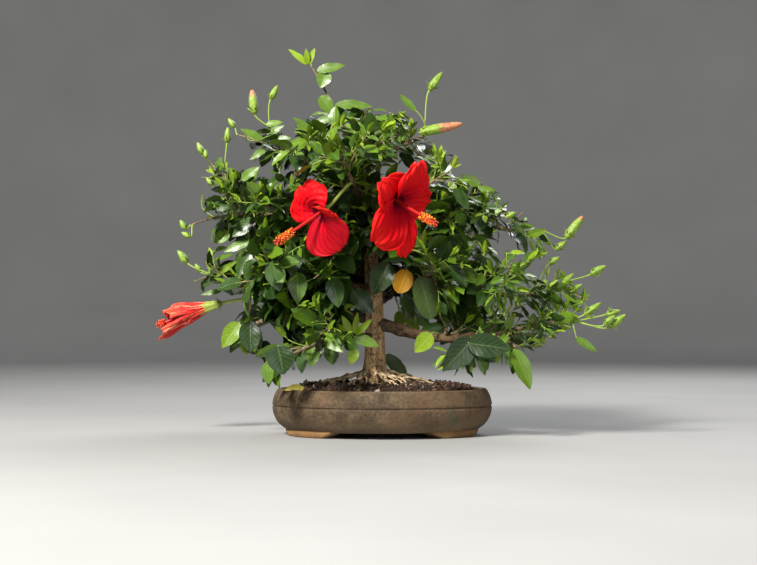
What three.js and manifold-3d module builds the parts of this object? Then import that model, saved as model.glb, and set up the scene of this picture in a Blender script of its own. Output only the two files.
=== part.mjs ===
// Hibiscus bonsai in an oval stoneware pot, with two open blooms, a closing bloom and many buds.
// Millimetres, +Z up, +X to the right and -Y towards the viewer. The origin is on the surface that the
// pot's feet stand on, under the middle of the pot.

import * as THREE from "three";
import { mergeVertices } from "three/addons/utils/BufferGeometryUtils.js";
import Module from "manifold-3d";

const wasm = await Module();
wasm.setup();

const vec = (x, y, z) => new THREE.Vector3(x, y, z);
const UP = vec(0, 0, 1);
const GOLDEN_TURN = Math.PI * (3 - Math.sqrt(5));

// Driving dimensions

const GAP = 0.3; // clearance between two nodes that meet
const FACETS = 24; // corners of the pot's oval

const POT = {
  depthShare: 0.77, // the oval's depth over its width
  height: 60,
  footHeight: 7.5,
  baseHalf: 117,
  bellyHalf: 143,
  bellyHeight: 29,
  beltHeight: 38, // groove under the rim band
  beltDepth: 2,
  bandInset: 1, // how far the belly draws in up to the groove
  rimHalf: 136,
  wall: 7,
  floor: 6,
  baseRise: 3, // the underside's rise towards the belly
  innerEase: 2, // the inside corner's bulge
};
const FOOT = { inner: 100, outer: 122, startTurn: 0.2, endTurn: 1.05 }; // an arc in each quarter, radians
const SOIL = { wallDrop: 3, plateauHalf: 98, ground: 66 };
const TRUNK = {
  foot: vec(-10, 0, SOIL.ground - 4),
  lower: vec(-10, 0, 170),
  upper: vec(-5, 0, 250),
  tip: vec(-40, 0, 372),
  girth: 12.6, // radius above the root flare
  thin: 4.2, // radius at the tip
  flare: 11, // extra radius at the ground
  flareHeight: 15,
  flutes: 5,
  fluteShare: 0.3, // of the flare
  taperPower: 1.6,
};
const ROOTS = {
  count: 9,
  shortest: 44,
  longest: 92,
  thick: 7,
  thin: 1.7,
  shoulder: 20, // how high on the trunk a root starts
  kneeShare: 0.45, // of its reach, where it meets the ground
  kneeRise: 4,
  sunk: 0.5,
  sides: 4,
  steps: 4,
};
const LEAF = {
  length: 60, // with its stalk
  widthShare: 0.6,
  thickShare: 0.028,
  arch: 0.08, // how far its middle rises over the line from root to tip
  widest: 0.56, // share of the length where it is widest
  spacing: 11, // along a shoot
  apart: 8, // from other leaves
  start: 0.7, // of a spacing, before the first
  last: 0.97, // share of a shoot where its last leaf is rooted
  tipLoss: 0.35, // how much shorter leaves are at a shoot's tip
};
const TWIG = { stem: 2.6, thick: 1.1, thin: 0.75, sides: 3 }; // radii of a stem, a side twig and their tips
const STEM = { steps: 3, bare: 0.2, lead: 0.3, firstTwig: 0.16, lastTwig: 0.86 }; // shares of its length
const BUD = { length: 25, radius: 4.6, sunk: 3 };
const BLOOM = {
  petals: 5,
  petalHalfWidth: 25,
  petalThick: 1.3,
  throat: 3,
  lap: 0.2, // how far each petal tilts to lie over the next
  petalRootHalf: 4, // a petal's half width at the throat
  petalRoundness: 0.6, // lower is squarer
  leastRadius: 10, // within it a petal is no more curled round the axis
  stalk: [1.7, 2.4], // radius at the limb and at the calyx
  calyxLength: 20,
  calyxFoot: 4, // how far it reaches down the stalk
  calyx: [3, 7], // radius at its foot and at its brim
  columnShare: 1.07, // of the petals' length
  column: [2.4, 1.6],
  stamensFrom: 0.62, // share of the column that is bare, on an open bloom
  stigmaFrom: 0.95, // and on a closing one
  head: 2, // radius of the head of stamens at its ends
  headSwell: 4,
};
const ROLLED = { root: 5, swell: 12, lobe: 0.16, twist: 1.2 }; // petals rolled shut: radii, lobes, twist
const BLOOM_ROOM = {
  stalk: { beads: 12, radius: 3 },
  open: { alongs: [0.38], nearer: [0, 25, 50, 75], radius: 0.8 }, // shares of the petals' length
  closed: { alongs: [0.25, 0.6, 0.95], nearer: [0], radius: 0.27 },
};

// How a twig or a leaf grows: how much of its way is aside from its shoot, onwards along the shoot, outwards
// from the crown's middle and upwards, and how much of a leaf's face is turned any way, upwards and outwards.
const TWIG_WAY = { aside: 0.8, onwards: 0.45, outwards: 0.35, upwards: 0.15 };
const LEAF_WAY = { aside: 0.75, onwards: 0.55, outwards: 0.2, lowDroop: 0.75, highDroop: 0.05 };
const LEAF_FACE = { anyWay: 0.8, upwards: 0.45, outwards: 0.3 };
const VARIETY = { twig: [0.75, 1.15], leaf: [0.84, 1.26], droop: [0.6, 1.4] }; // least and most of the mean
const SEEDS = { roots: 41, firstMass: 1000, step: 77 };
const TWIG_BARE = 0.3; // share of a twig with no leaves
const TWIG_PROBES = [0.6, 0.8, 1]; // shares of a twig that must be free
const TWIG_TRIES = [1, 0.75, 0.5]; // shares of a twig's reach, until one is free
const LEAF_TRIES = [[0, 1], [2, 1], [4, 1], [0, 0.7], [2, 0.7], [4, 0.7]]; // extra turn, share of its length
const CROWN = { middle: vec(-5, 0, 215), halfWidth: 303, halfDepth: 194, top: 504 };

// Main boughs: where each leaves the trunk (0 at the ground, 1 at the tip), the point it bends towards,
// its tip, and its radius at both ends.
const BOUGHS = {
  right_low: { at: 0.27, via: vec(105, -20, 110), tip: vec(172, -42, 136), thick: 7.5, thin: 3.8 },
  left_low: { at: 0.28, via: vec(-100, 8, 168), tip: vec(-156, 20, 147), thick: 6.2, thin: 3.4 },
  front_left_low: { at: 0.21, via: vec(-45, -50, 130), tip: vec(-84, -84, 118), thick: 3.8, thin: 2.5 },
  left_mid: { at: 0.42, via: vec(-90, -12, 200), tip: vec(-164, 2, 179), thick: 5.6, thin: 3 },
  left_upper: { at: 0.6, via: vec(-80, 22, 262), tip: vec(-160, 26, 298), thick: 5.2, thin: 2.8 },
  top_left: { at: 0.84, via: vec(-75, -10, 340), tip: vec(-124, -14, 370), thick: 4.2, thin: 2.5 },
  top_right: { at: 0.88, via: vec(-5, 6, 366), tip: vec(46, 2, 384), thick: 4, thin: 2.5 },
  right_upper: { at: 0.68, via: vec(70, 10, 300), tip: vec(146, -4, 270), thick: 5, thin: 2.8 },
  right_mid: { at: 0.53, via: vec(70, -22, 192), tip: vec(162, -14, 180), thick: 5.4, thin: 3 },
  front_upper: { at: 0.76, via: vec(-28, -50, 300), tip: vec(-38, -92, 322), thick: 4, thin: 2.4 },
  front_right: { at: 0.64, via: vec(20, -40, 285), tip: vec(42, -72, 306), thick: 4, thin: 2.4 },
  back_low: { at: 0.36, via: vec(5, 70, 178), tip: vec(22, 118, 186), thick: 5, thin: 2.8 },
  back_left: { at: 0.48, via: vec(-60, 55, 222), tip: vec(-104, 102, 234), thick: 4.6, thin: 2.6 },
  back_right: { at: 0.57, via: vec(45, 60, 242), tip: vec(90, 108, 252), thick: 4.6, thin: 2.6 },
  back_upper: { at: 0.79, via: vec(-35, 45, 318), tip: vec(-42, 88, 344), thick: 4, thin: 2.4 },
};

// Foliage masses: the limb that carries each, how far along it the stem leaves, the tip that the stem
// reaches, how far side twigs spread from it, how many there are, and the buds on its longest shoots.
const MASSES = {
  top_leader: { limb: "trunk", at: 1, tip: vec(-97, 0, 488), spread: 44, twigs: 3 },
  top_centre: { limb: "trunk", at: 0.93, tip: vec(-12, -28, 430), spread: 50, twigs: 3 },
  front_centre: { limb: "trunk", at: 0.85, tip: vec(2, -86, 372), spread: 50, twigs: 3 },
  top_right_bud: { limb: "top_right", at: 1, tip: vec(70, 14, 448), spread: 46, twigs: 3, buds: 1 },
  top_right_outer: { limb: "top_right", at: 0.72, tip: vec(88, -46, 398), spread: 44, twigs: 3, buds: 1 },
  top_right_back: { limb: "top_right", at: 0.45, tip: vec(48, 92, 378), spread: 54, twigs: 3 },
  top_left_bud: { limb: "top_left", at: 1, tip: vec(-158, -22, 430), spread: 46, twigs: 3, buds: 2 },
  top_left_outer: { limb: "top_left", at: 0.75, tip: vec(-194, 14, 392), spread: 44, twigs: 3, buds: 1 },
  top_left_front: { limb: "top_left", at: 0.4, tip: vec(-92, -88, 378), spread: 52, twigs: 3 },
  top_left_back: { limb: "top_left", at: 0.55, tip: vec(-116, 84, 376), spread: 54, twigs: 3 },
  left_upper_tip: { limb: "left_upper", at: 1, tip: vec(-232, 18, 362), spread: 44, twigs: 3, buds: 1 },
  left_upper_low: { limb: "left_upper", at: 0.8, tip: vec(-252, -22, 268), spread: 44, twigs: 3, buds: 1 },
  left_upper_front: { limb: "left_upper", at: 0.5, tip: vec(-158, -76, 300), spread: 52, twigs: 3 },
  left_upper_back: { limb: "left_upper", at: 0.65, tip: vec(-196, 96, 296), spread: 54, twigs: 3 },
  left_mid_tip: { limb: "left_mid", at: 0.82, tip: vec(-250, 44, 224), spread: 42, twigs: 3, buds: 1 },
  left_mid_front: { limb: "left_mid", at: 0.6, tip: vec(-134, -96, 218), spread: 52, twigs: 4 },
  left_mid_inner: { limb: "left_mid", at: 0.3, tip: vec(-58, -84, 230), spread: 48, twigs: 3 },
  left_low_tip: { limb: "left_low", at: 1, tip: vec(-208, -10, 122), spread: 44, twigs: 3 },
  left_low_front: { limb: "left_low", at: 0.5, tip: vec(-104, -88, 166), spread: 50, twigs: 4 },
  left_low_back: { limb: "left_low", at: 0.7, tip: vec(-164, 100, 152), spread: 54, twigs: 3 },
  left_low_hang: { limb: "front_left_low", at: 1, tip: vec(-138, -112, 92), spread: 42, twigs: 3 },
  front_left_low: { limb: "front_left_low", at: 0.6, tip: vec(-62, -112, 152), spread: 42, twigs: 3 },
  front_upper: { limb: "front_upper", at: 1, tip: vec(-52, -150, 350), spread: 50, twigs: 3 },
  front_right: { limb: "front_right", at: 1, tip: vec(84, -112, 332), spread: 50, twigs: 3 },
  front_right_low: { limb: "right_mid", at: 0.34, tip: vec(54, -106, 228), spread: 48, twigs: 3 },
  right_upper_tip: { limb: "right_upper", at: 1, tip: vec(246, 2, 266), spread: 46, twigs: 3, buds: 1 },
  right_upper_top: { limb: "right_upper", at: 0.55, tip: vec(138, 28, 334), spread: 52, twigs: 3 },
  right_upper_side: { limb: "right_upper", at: 0.75, tip: vec(172, -78, 290), spread: 50, twigs: 3, buds: 1 },
  right_mid_tip: { limb: "right_mid", at: 1, tip: vec(260, 18, 206), spread: 46, twigs: 3, buds: 1 },
  right_mid_front: { limb: "right_mid", at: 0.7, tip: vec(158, -116, 216), spread: 52, twigs: 3 },
  right_low_tip: { limb: "right_low", at: 1, tip: vec(281, -76, 148), spread: 46, twigs: 3, buds: 2 },
  right_low_under: { limb: "right_low", at: 0.84, tip: vec(250, 26, 118), spread: 44, twigs: 3 },
  right_low_hang: { limb: "right_low", at: 0.8, tip: vec(176, -88, 94), spread: 40, twigs: 3 },
  right_low_front: { limb: "right_low", at: 0.5, tip: vec(96, -104, 118), spread: 40, twigs: 3 },
  right_low_back: { limb: "right_low", at: 0.62, tip: vec(150, 78, 152), spread: 50, twigs: 3 },
  back_low: { limb: "back_low", at: 1, tip: vec(2, 168, 186), spread: 54, twigs: 4 },
  back_left: { limb: "back_left", at: 1, tip: vec(-112, 160, 244), spread: 54, twigs: 4 },
  back_right: { limb: "back_right", at: 1, tip: vec(98, 160, 270), spread: 54, twigs: 4 },
  back_upper: { limb: "back_upper", at: 1, tip: vec(-32, 148, 336), spread: 54, twigs: 4 },
};

// Blooms: the limb that carries each stalk, where its calyx sits, the way it faces, its petals' length, and
// how far they lean from the bloom's axis at the base and at the tip, in degrees. The closing bloom has none:
// its petals are rolled into one lobed spindle.
const BLOOMS = {
  bloom_left: {
    limb: "front_upper", at: 0.9, calyx: vec(-62, -124, 288), faces: vec(-0.74, -0.56, -0.37),
    length: 70, open: [14, 113], turn: 0.5,
  },
  bloom_right: {
    limb: "front_right", at: 0.86, calyx: vec(12, -112, 299), faces: vec(0.56, -0.77, -0.3),
    length: 70, open: [14, 110], turn: 0.2,
  },
  bloom_closing: {
    limb: "left_mid", at: 1, calyx: vec(-212, 26, 170), faces: vec(-0.93, 0.2, -0.27), length: 84,
  },
};

// Clearings that no leaf enters, as [low x, low z, high x, high z] seen from the front: the open trunk and
// the gaps under the low boughs. Each runs from its `front` to its `back`.
const CLEARINGS = [
  { box: [-32, 60, 16, 226], front: -400, back: 0 },
  { box: [6, 60, 62, 122], front: -400, back: 400 },
  { box: [4, 158, 22, 180], front: -400, back: 400 },
  { box: [-112, 60, -24, 92], front: -400, back: 400 },
];

// Finishes: each mesh gets its own material of one of these

const STONEWARE = { color: "#6b5a48", roughness: 0.75 };
const GRIT = { color: "#6a4a35", roughness: 0.95 };
const BARK = { color: "#8d7454", roughness: 0.9 };
const LEAVES = { color: "#2f6a1c", roughness: 0.4 };
const PETALS = { color: "#d3121a", roughness: 0.55 };

// Solids

/** A closed mesh of corner coordinates and triangles as a solid. */
function solidFrom(vertProperties, triVerts) {
  const mesh = new wasm.Mesh({
    numProp: 3,
    vertProperties: Float32Array.from(vertProperties),
    triVerts: Uint32Array.from(triVerts),
  });
  return new wasm.Manifold(mesh);
}

/** A closed three.js geometry as a solid. */
function solidOf(geometry) {
  const bare = geometry.clone().deleteAttribute("normal").deleteAttribute("uv");
  const merged = mergeVertices(bare, 1e-3);
  return solidFrom(merged.attributes.position.array, merged.index.array);
}

const union = (solids) => wasm.Manifold.union(solids);

/** A solid's largest piece: a scrap that a cut leaves behind is dropped. */
function largestPiece(solid) {
  return solid.decompose().reduce((best, piece) => (piece.volume() > best.volume() ? piece : best));
}

/** A named mesh of a solid, in a finish of its own. */
function node(name, solid, look) {
  const { vertProperties, triVerts } = solid.getMesh();
  const geometry = new THREE.BufferGeometry();
  geometry.setAttribute("position", new THREE.BufferAttribute(vertProperties, 3));
  geometry.setIndex(new THREE.BufferAttribute(triVerts, 1));
  geometry.computeVertexNormals();
  const mesh = new THREE.Mesh(geometry, new THREE.MeshStandardMaterial({ ...look, metalness: 0 }));
  mesh.name = name;
  return mesh;
}

/** Triangles that join rings of corners into one closed skin with flat ends. */
function ringTriangles(rings, sides) {
  const triangles = [];
  for (let i = 0; i < rings - 1; i++) {
    for (let k = 0; k < sides; k++) {
      const a = i * sides + k;
      const b = i * sides + ((k + 1) % sides);
      triangles.push(a, b, a + sides, b, b + sides, a + sides);
    }
  }
  const last = (rings - 1) * sides;
  for (let k = 1; k < sides - 1; k++) {
    triangles.push(0, k + 1, k, last, last + k, last + k + 1);
  }
  return triangles;
}

/** A tapering limb: rings of `sides` corners at radius radiusAt(share of length, angle) along a curve. */
function limbSolid(curve, radiusAt, sides, steps) {
  const { normals, binormals } = curve.computeFrenetFrames(steps);
  const corners = [];
  for (let i = 0; i <= steps; i++) {
    const middle = curve.getPoint(i / steps);
    for (let k = 0; k < sides; k++) {
      const angle = (2 * Math.PI * k) / sides;
      const radius = radiusAt(i / steps, angle);
      const corner = middle.clone().addScaledVector(normals[i], radius * Math.cos(angle));
      corners.push(...corner.addScaledVector(binormals[i], radius * Math.sin(angle)).toArray());
    }
  }
  return solidFrom(corners, ringTriangles(steps + 1, sides));
}

const { lerp } = THREE.MathUtils;
const taper = (thick, thin) => (share) => lerp(thick, thin, share);

/** A repeatable stream of numbers from 0 to 1. */
function seeded(seed) {
  let state = seed;
  return () => {
    state = (state * 16807) % 2147483647;
    return state / 2147483647;
  };
}

/** A unit direction square to an axis, turned about it by an angle from the level. */
function squareTo(axis, angle) {
  const level = vec(axis.y, -axis.x, 0);
  const side = level.lengthSq() < 1e-6 ? vec(1, 0, 0) : level.normalize();
  const rise = side.clone().cross(axis).normalize();
  return side.multiplyScalar(Math.cos(angle)).addScaledVector(rise, Math.sin(angle));
}

// Pot and soil

const oval = (geometry) => geometry.rotateX(Math.PI / 2).scale(1, POT.depthShare, 1);

/** The pot's inner wall from the floor to the rim, `gap` inside the stoneware. */
function innerWall(path, gap) {
  const floor = POT.footHeight + POT.floor + gap;
  const half = POT.rimHalf - POT.wall - gap;
  const belly = POT.bellyHalf - POT.wall - gap;
  return path.lineTo(POT.baseHalf - gap, floor)
    .quadraticCurveTo(belly + POT.innerEase, floor + POT.innerEase, belly, POT.bellyHeight)
    .lineTo(half, POT.height - SOIL.wallDrop);
}

function latheSolid(path) {
  return solidOf(oval(new THREE.LatheGeometry(path.getPoints(3), FACETS)));
}

/** The oval bowl, with a groove under its rim band and four feet that follow its base. */
function potSolid() {
  const { footHeight, bellyHalf, bellyHeight, beltHeight, beltDepth, rimHalf, height } = POT;
  const bandHalf = bellyHalf - POT.bandInset;
  const outside = new THREE.Path().moveTo(0, footHeight).lineTo(POT.baseHalf, footHeight)
    .quadraticCurveTo(bellyHalf, footHeight + POT.baseRise, bellyHalf, bellyHeight)
    .lineTo(bandHalf, beltHeight - beltDepth).lineTo(bandHalf - beltDepth, beltHeight)
    .lineTo(bandHalf, beltHeight + beltDepth).lineTo(rimHalf, height).lineTo(0, height);
  const cavity = innerWall(new THREE.Path().moveTo(0, footHeight + POT.floor), 0)
    .lineTo(rimHalf - POT.wall, height + 1).lineTo(0, height + 1);
  const feet = [0, 1, 2, 3].map((quarter) => footSolid(quarter * (Math.PI / 2)));
  return union([latheSolid(outside).subtract(latheSolid(cavity)), ...feet]);
}

/** One foot: an arc of a flat ring under the base, mirrored into its quarter of the oval. */
function footSolid(quarter) {
  const mirrored = quarter % Math.PI !== 0;
  const start = quarter + (mirrored ? Math.PI / 2 - FOOT.endTurn : FOOT.startTurn);
  const end = quarter + (mirrored ? Math.PI / 2 - FOOT.startTurn : FOOT.endTurn);
  const outline = new THREE.Shape();
  outline.absarc(0, 0, FOOT.outer, start, end, false).absarc(0, 0, FOOT.inner, end, start, true);
  const depth = POT.footHeight + POT.floor / 2;
  const arc = new THREE.ExtrudeGeometry(outline, { depth, bevelEnabled: false, curveSegments: 4 });
  return solidOf(arc.scale(1, POT.depthShare, 1));
}

/** The soil: it fills the pot and rises to a level top where the trunk stands. */
function soilSolid() {
  const path = innerWall(new THREE.Path().moveTo(0, POT.footHeight + POT.floor + GAP), GAP);
  return latheSolid(path.lineTo(SOIL.plateauHalf, SOIL.ground).lineTo(0, SOIL.ground));
}

// Trunk and boughs

const trunkLine = new THREE.CubicBezierCurve3(TRUNK.foot, TRUNK.lower, TRUNK.upper, TRUNK.tip);

/** The trunk's radius: a slow taper with a fluted flare at the ground. */
function trunkRadius(share, angle = 0) {
  const rise = trunkLine.getPoint(share).z - SOIL.ground;
  const shaft = lerp(TRUNK.girth, TRUNK.thin, share ** TRUNK.taperPower);
  const flare = TRUNK.flare * Math.exp(-Math.max(rise, 0) / TRUNK.flareHeight);
  return shaft + flare * (1 + TRUNK.fluteShare * Math.cos(TRUNK.flutes * angle));
}

/** One surface root: it leaves the trunk's shoulder and runs out along the ground. */
function rootSolid(index, random) {
  const turn = (2 * Math.PI * (index + 0.5 * random())) / ROOTS.count;
  const reach = lerp(ROOTS.shortest, ROOTS.longest, random());
  const outwards = vec(Math.cos(turn), POT.depthShare * Math.sin(turn), 0);
  const place = (share, height) =>
    vec(TRUNK.foot.x, 0, SOIL.ground + height).addScaledVector(outwards, share * reach);
  const knee = place(ROOTS.kneeShare, ROOTS.kneeRise);
  const line = new THREE.QuadraticBezierCurve3(place(0, ROOTS.shoulder), knee, place(1, -ROOTS.sunk));
  return limbSolid(line, taper(ROOTS.thick, ROOTS.thin), ROOTS.sides, ROOTS.steps);
}

const limbs = { trunk: { line: trunkLine, radius: trunkRadius, sides: 10, steps: 14 } };
for (const [name, { at, via, tip, thick, thin }] of Object.entries(BOUGHS)) {
  const line = new THREE.QuadraticBezierCurve3(trunkLine.getPoint(at), via, tip);
  limbs[name] = { line, radius: taper(thick, thin), sides: 6, steps: 5 };
}

/** A limb's shape, or that shape grown by the clearance for cutting what meets it. */
function limbShape(name, grown = 0) {
  const { line, radius, sides, steps } = limbs[name];
  return limbSolid(line, (share, angle) => radius(share, angle) + grown, sides, steps);
}

const grownLimb = (name) => limbShape(name, GAP);
const boughSolid = (name) => largestPiece(limbShape(name).subtract(grownLimb("trunk")));

/** The trunk with its surface roots, cut level at the ground. */
function trunkSolid() {
  const random = seeded(SEEDS.roots);
  const roots = Array.from({ length: ROOTS.count }, (_, i) => rootSolid(i, random));
  return union([limbShape("trunk"), ...roots]).trimByPlane([0, 0, 1], SOIL.ground + GAP);
}

// Stems: a mass or bloom starts just past its limb's tip, or inside the limb's side, where it is cut clear

function stemStart(limb, at) {
  const { line } = limbs[limb];
  const start = line.getPoint(at);
  return at < 1 ? start : start.addScaledVector(line.getTangent(1), GAP);
}

/** The curve from a limb to a tip: from a limb's end it sets off the limb's own way. */
function stemLine({ limb, at, tip }) {
  const start = stemStart(limb, at);
  const straight = tip.clone().sub(start);
  const via = start.clone().addScaledVector(limbs[limb].line.getTangent(at), straight.length() * STEM.lead);
  if (at < 1) via.addScaledVector(straight, STEM.lead);
  return new THREE.QuadraticBezierCurve3(start, via, tip);
}

const stems = Object.fromEntries(Object.entries(MASSES).map(([name, mass]) => [name, stemLine(mass)]));

// Space: each mass keeps to the points nearer to its own stem than to any other, clear of limbs and blooms

const SITE_SHARES = [0.4, 0.7, 1];
const sites = Object.entries(stems).flatMap(([owner, line]) =>
  SITE_SHARES.map((share) => ({ owner, point: line.getPoint(share) })),
);
const SPACE_MARGIN = 1.6;
const LIMB_MARGIN = 1.5;
const POT_MARGIN = 6;

function inOwnSpace(point, owner) {
  let own = Infinity;
  let other = Infinity;
  for (const site of sites) {
    const distance = point.distanceTo(site.point);
    if (site.owner === owner) own = Math.min(own, distance);
    else other = Math.min(other, distance);
  }
  return other - own > SPACE_MARGIN;
}

const LIMB_BEADS = 40;
const limbBeads = Object.values(limbs).flatMap(({ line, radius }) =>
  line.getPoints(LIMB_BEADS).map((point, i) => ({ point, radius: radius(i / LIMB_BEADS) })),
);

/** The room a bloom needs: balls round its petals, repeated towards the viewer if open, and its stalk. */
function bloomBeads({ limb, at, calyx, faces, length, open }) {
  const { beads: count, radius } = BLOOM_ROOM.stalk;
  const stalk = new THREE.LineCurve3(stemStart(limb, at), calyx);
  const room = stalk.getPoints(count).map((point) => ({ point, radius }));
  const petals = open ? BLOOM_ROOM.open : BLOOM_ROOM.closed;
  for (const share of petals.alongs) {
    const middle = calyx.clone().addScaledVector(faces, (length * share) / faces.length());
    for (const nearer of petals.nearer) {
      room.push({ point: middle.clone().add(vec(0, -nearer, 0)), radius: length * petals.radius });
    }
  }
  return room;
}

const beads = [...limbBeads, ...Object.values(BLOOMS).flatMap(bloomBeads)];

function isFree(point, owner) {
  const { x, y, z } = point;
  const overPot = Math.hypot(x, y / POT.depthShare) < POT.bellyHalf + POT_MARGIN;
  if (z < (overPot ? SOIL.ground + POT_MARGIN : POT_MARGIN)) return false;
  if (Math.abs(x) > CROWN.halfWidth || Math.abs(y) > CROWN.halfDepth || z > CROWN.top) return false;
  const cleared = CLEARINGS.some(
    ({ box, front, back }) => x > box[0] && z > box[1] && x < box[2] && z < box[3] && y > front && y < back,
  );
  if (cleared || !inOwnSpace(point, owner)) return false;
  return beads.every((bead) => point.distanceTo(bead.point) > bead.radius + LIMB_MARGIN);
}

// Leaves, buds and twigs

/** A point of a leaf, `along` its length, `across` its width and `over` its face. */
function leafPoint({ root, along, face, length }, alongShare, acrossShare, over) {
  const across = face.clone().cross(along);
  return root.clone().addScaledVector(along, length * alongShare)
    .addScaledVector(across, length * LEAF.widthShare * acrossShare)
    .addScaledVector(face, over);
}

/** A leaf of six faces: two that bend down across its widest part, and four that meet in a keel below. */
function leafSolid(leaf) {
  const root = leaf.root;
  const tip = leafPoint(leaf, 1, 0, 0);
  const left = leafPoint(leaf, LEAF.widest, -0.5, LEAF.arch * leaf.length);
  const right = leafPoint(leaf, LEAF.widest, 0.5, LEAF.arch * leaf.length);
  const keel = leafPoint(leaf, LEAF.widest, 0, (LEAF.arch - LEAF.thickShare) * leaf.length);
  const corners = [root, tip, left, right, keel].flatMap((corner) => corner.toArray());
  return solidFrom(corners, [0, 2, 3, 1, 3, 2, 0, 4, 2, 2, 4, 1, 1, 4, 3, 3, 4, 0]);
}

/** The points of a leaf that must be free: its corners and the middles of its margins. */
function leafProbes(leaf) {
  const { widest } = LEAF;
  const places = [[1, 0], [widest, 0], [widest, -0.5], [widest, 0.5]];
  for (const along of [widest / 2, (1 + widest) / 2]) {
    places.push([along, -0.27], [along, 0.27]);
  }
  return places.map(([along, across]) => leafPoint(leaf, along, across, 0));
}

/** A bud: a spindle that carries on from a shoot's tip. */
function budSolid(shoot) {
  const way = shoot.line.getTangent(1);
  const middle = shoot.line.getPoint(1).addScaledVector(way, BUD.length / 2 - BUD.sunk);
  const spindle = new THREE.OctahedronGeometry(1).scale(BUD.radius, BUD.radius, BUD.length / 2);
  spindle.applyQuaternion(new THREE.Quaternion().setFromUnitVectors(UP, way));
  return solidOf(spindle.translate(middle.x, middle.y, middle.z));
}

/** A point on the axis of a shoot's straight-sided steps. */
function onShoot({ line, steps }, share) {
  const step = Math.min(Math.floor(share * steps), steps - 1);
  return line.getPoint(step / steps).lerp(line.getPoint((step + 1) / steps), share * steps - step);
}

/** Side twigs: each leaves the stem a golden turn after the last, and is shortened until it is free. */
function growTwigs(name, stem, random) {
  const { spread, twigs } = MASSES[name];
  const grown = [];
  for (let i = 0; i < twigs; i++) {
    const share = lerp(STEM.firstTwig, STEM.lastTwig, (i + 0.5 * random()) / twigs);
    const turn = GOLDEN_TURN * i + random();
    const reach = spread * lerp(...VARIETY.twig, random());
    const root = onShoot(stem, share);
    const axis = stem.line.getTangent(share);
    const outwards = root.clone().sub(CROWN.middle).normalize();
    const way = squareTo(axis, turn).multiplyScalar(TWIG_WAY.aside).addScaledVector(axis, TWIG_WAY.onwards)
      .addScaledVector(outwards, TWIG_WAY.outwards).addScaledVector(UP, TWIG_WAY.upwards).normalize();
    for (const length of TWIG_TRIES.map((size) => size * reach)) {
      const line = new THREE.LineCurve3(root, root.clone().addScaledVector(way, length));
      if (TWIG_PROBES.every((along) => isFree(line.getPoint(along), name))) {
        grown.push({ line, steps: 1, bare: TWIG_BARE, thick: TWIG.thick, length });
        break;
      }
    }
  }
  return grown;
}

/** Leaves along a shoot: a golden turn apart, drooping more the lower they hang, faced every way. */
function growLeaves(name, shoot, placed, random) {
  const count = Math.max(2, Math.round(((1 - shoot.bare) * shoot.length) / LEAF.spacing));
  const leaves = [];
  for (let j = 0; j < count; j++) {
    const share = lerp(shoot.bare, 1, (j + LEAF.start) / count);
    const root = onShoot(shoot, Math.min(share, LEAF.last));
    const axis = shoot.line.getTangent(share);
    const turn = GOLDEN_TURN * j + 2 * Math.PI * random();
    const fullLength = LEAF.length * (1 - LEAF.tipLoss * share ** 3) * lerp(...VARIETY.leaf, random());
    const highness = THREE.MathUtils.clamp((root.z - SOIL.ground) / (CROWN.top - SOIL.ground), 0, 1);
    const droop = lerp(LEAF_WAY.lowDroop, LEAF_WAY.highDroop, highness) * lerp(...VARIETY.droop, random());
    const outwards = root.clone().sub(CROWN.middle).normalize();
    const anyWay = 2 * Math.PI * random();
    const facing = vec(Math.cos(anyWay), Math.sin(anyWay), 0).multiplyScalar(LEAF_FACE.anyWay)
      .addScaledVector(UP, LEAF_FACE.upwards).addScaledVector(outwards, LEAF_FACE.outwards);
    for (const [extraTurn, size] of LEAF_TRIES) {
      const along = squareTo(axis, turn + extraTurn).multiplyScalar(LEAF_WAY.aside)
        .addScaledVector(axis, LEAF_WAY.onwards).addScaledVector(outwards, LEAF_WAY.outwards)
        .addScaledVector(UP, -droop).normalize();
      const face = facing.clone().addScaledVector(along, -facing.dot(along)).normalize();
      const leaf = { root, along, face, length: fullLength * size };
      const probes = leafProbes(leaf);
      const crowded = placed.some(
        ({ owner, point }) => owner !== shoot && probes.some((probe) => probe.distanceTo(point) < LEAF.apart),
      );
      if (!crowded && probes.every((point) => isFree(point, name))) {
        leaves.push(leaf);
        placed.push(...probes.map((point) => ({ owner: leaf, point })));
        break;
      }
    }
  }
  return leaves;
}

/** One mass of foliage: a stem, its side twigs, their leaves and the buds, joined into one solid. */
function massSolid(name, index) {
  const mass = MASSES[name];
  const random = seeded(SEEDS.firstMass + SEEDS.step * index);
  const line = stems[name];
  const stem = { line, steps: STEM.steps, bare: STEM.bare, thick: TWIG.stem, length: line.getLength() };
  const shoots = [stem, ...growTwigs(name, stem, random)];
  const twigs = shoots.map((shoot) =>
    limbSolid(shoot.line, taper(shoot.thick, TWIG.thin), TWIG.sides, shoot.steps),
  );
  const placed = shoots.flatMap((owner) => owner.line.getPoints(12).map((point) => ({ owner, point })));
  const leaves = shoots.flatMap((shoot) => growLeaves(name, shoot, placed, random)).map(leafSolid);
  const buds = shoots.slice(0, mass.buds ?? 0).map(budSolid);
  const whole = union([...twigs, ...leaves, ...buds]);
  return largestPiece(mass.at < 1 ? whole.subtract(grownLimb(mass.limb)) : whole);
}

// Blooms

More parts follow.
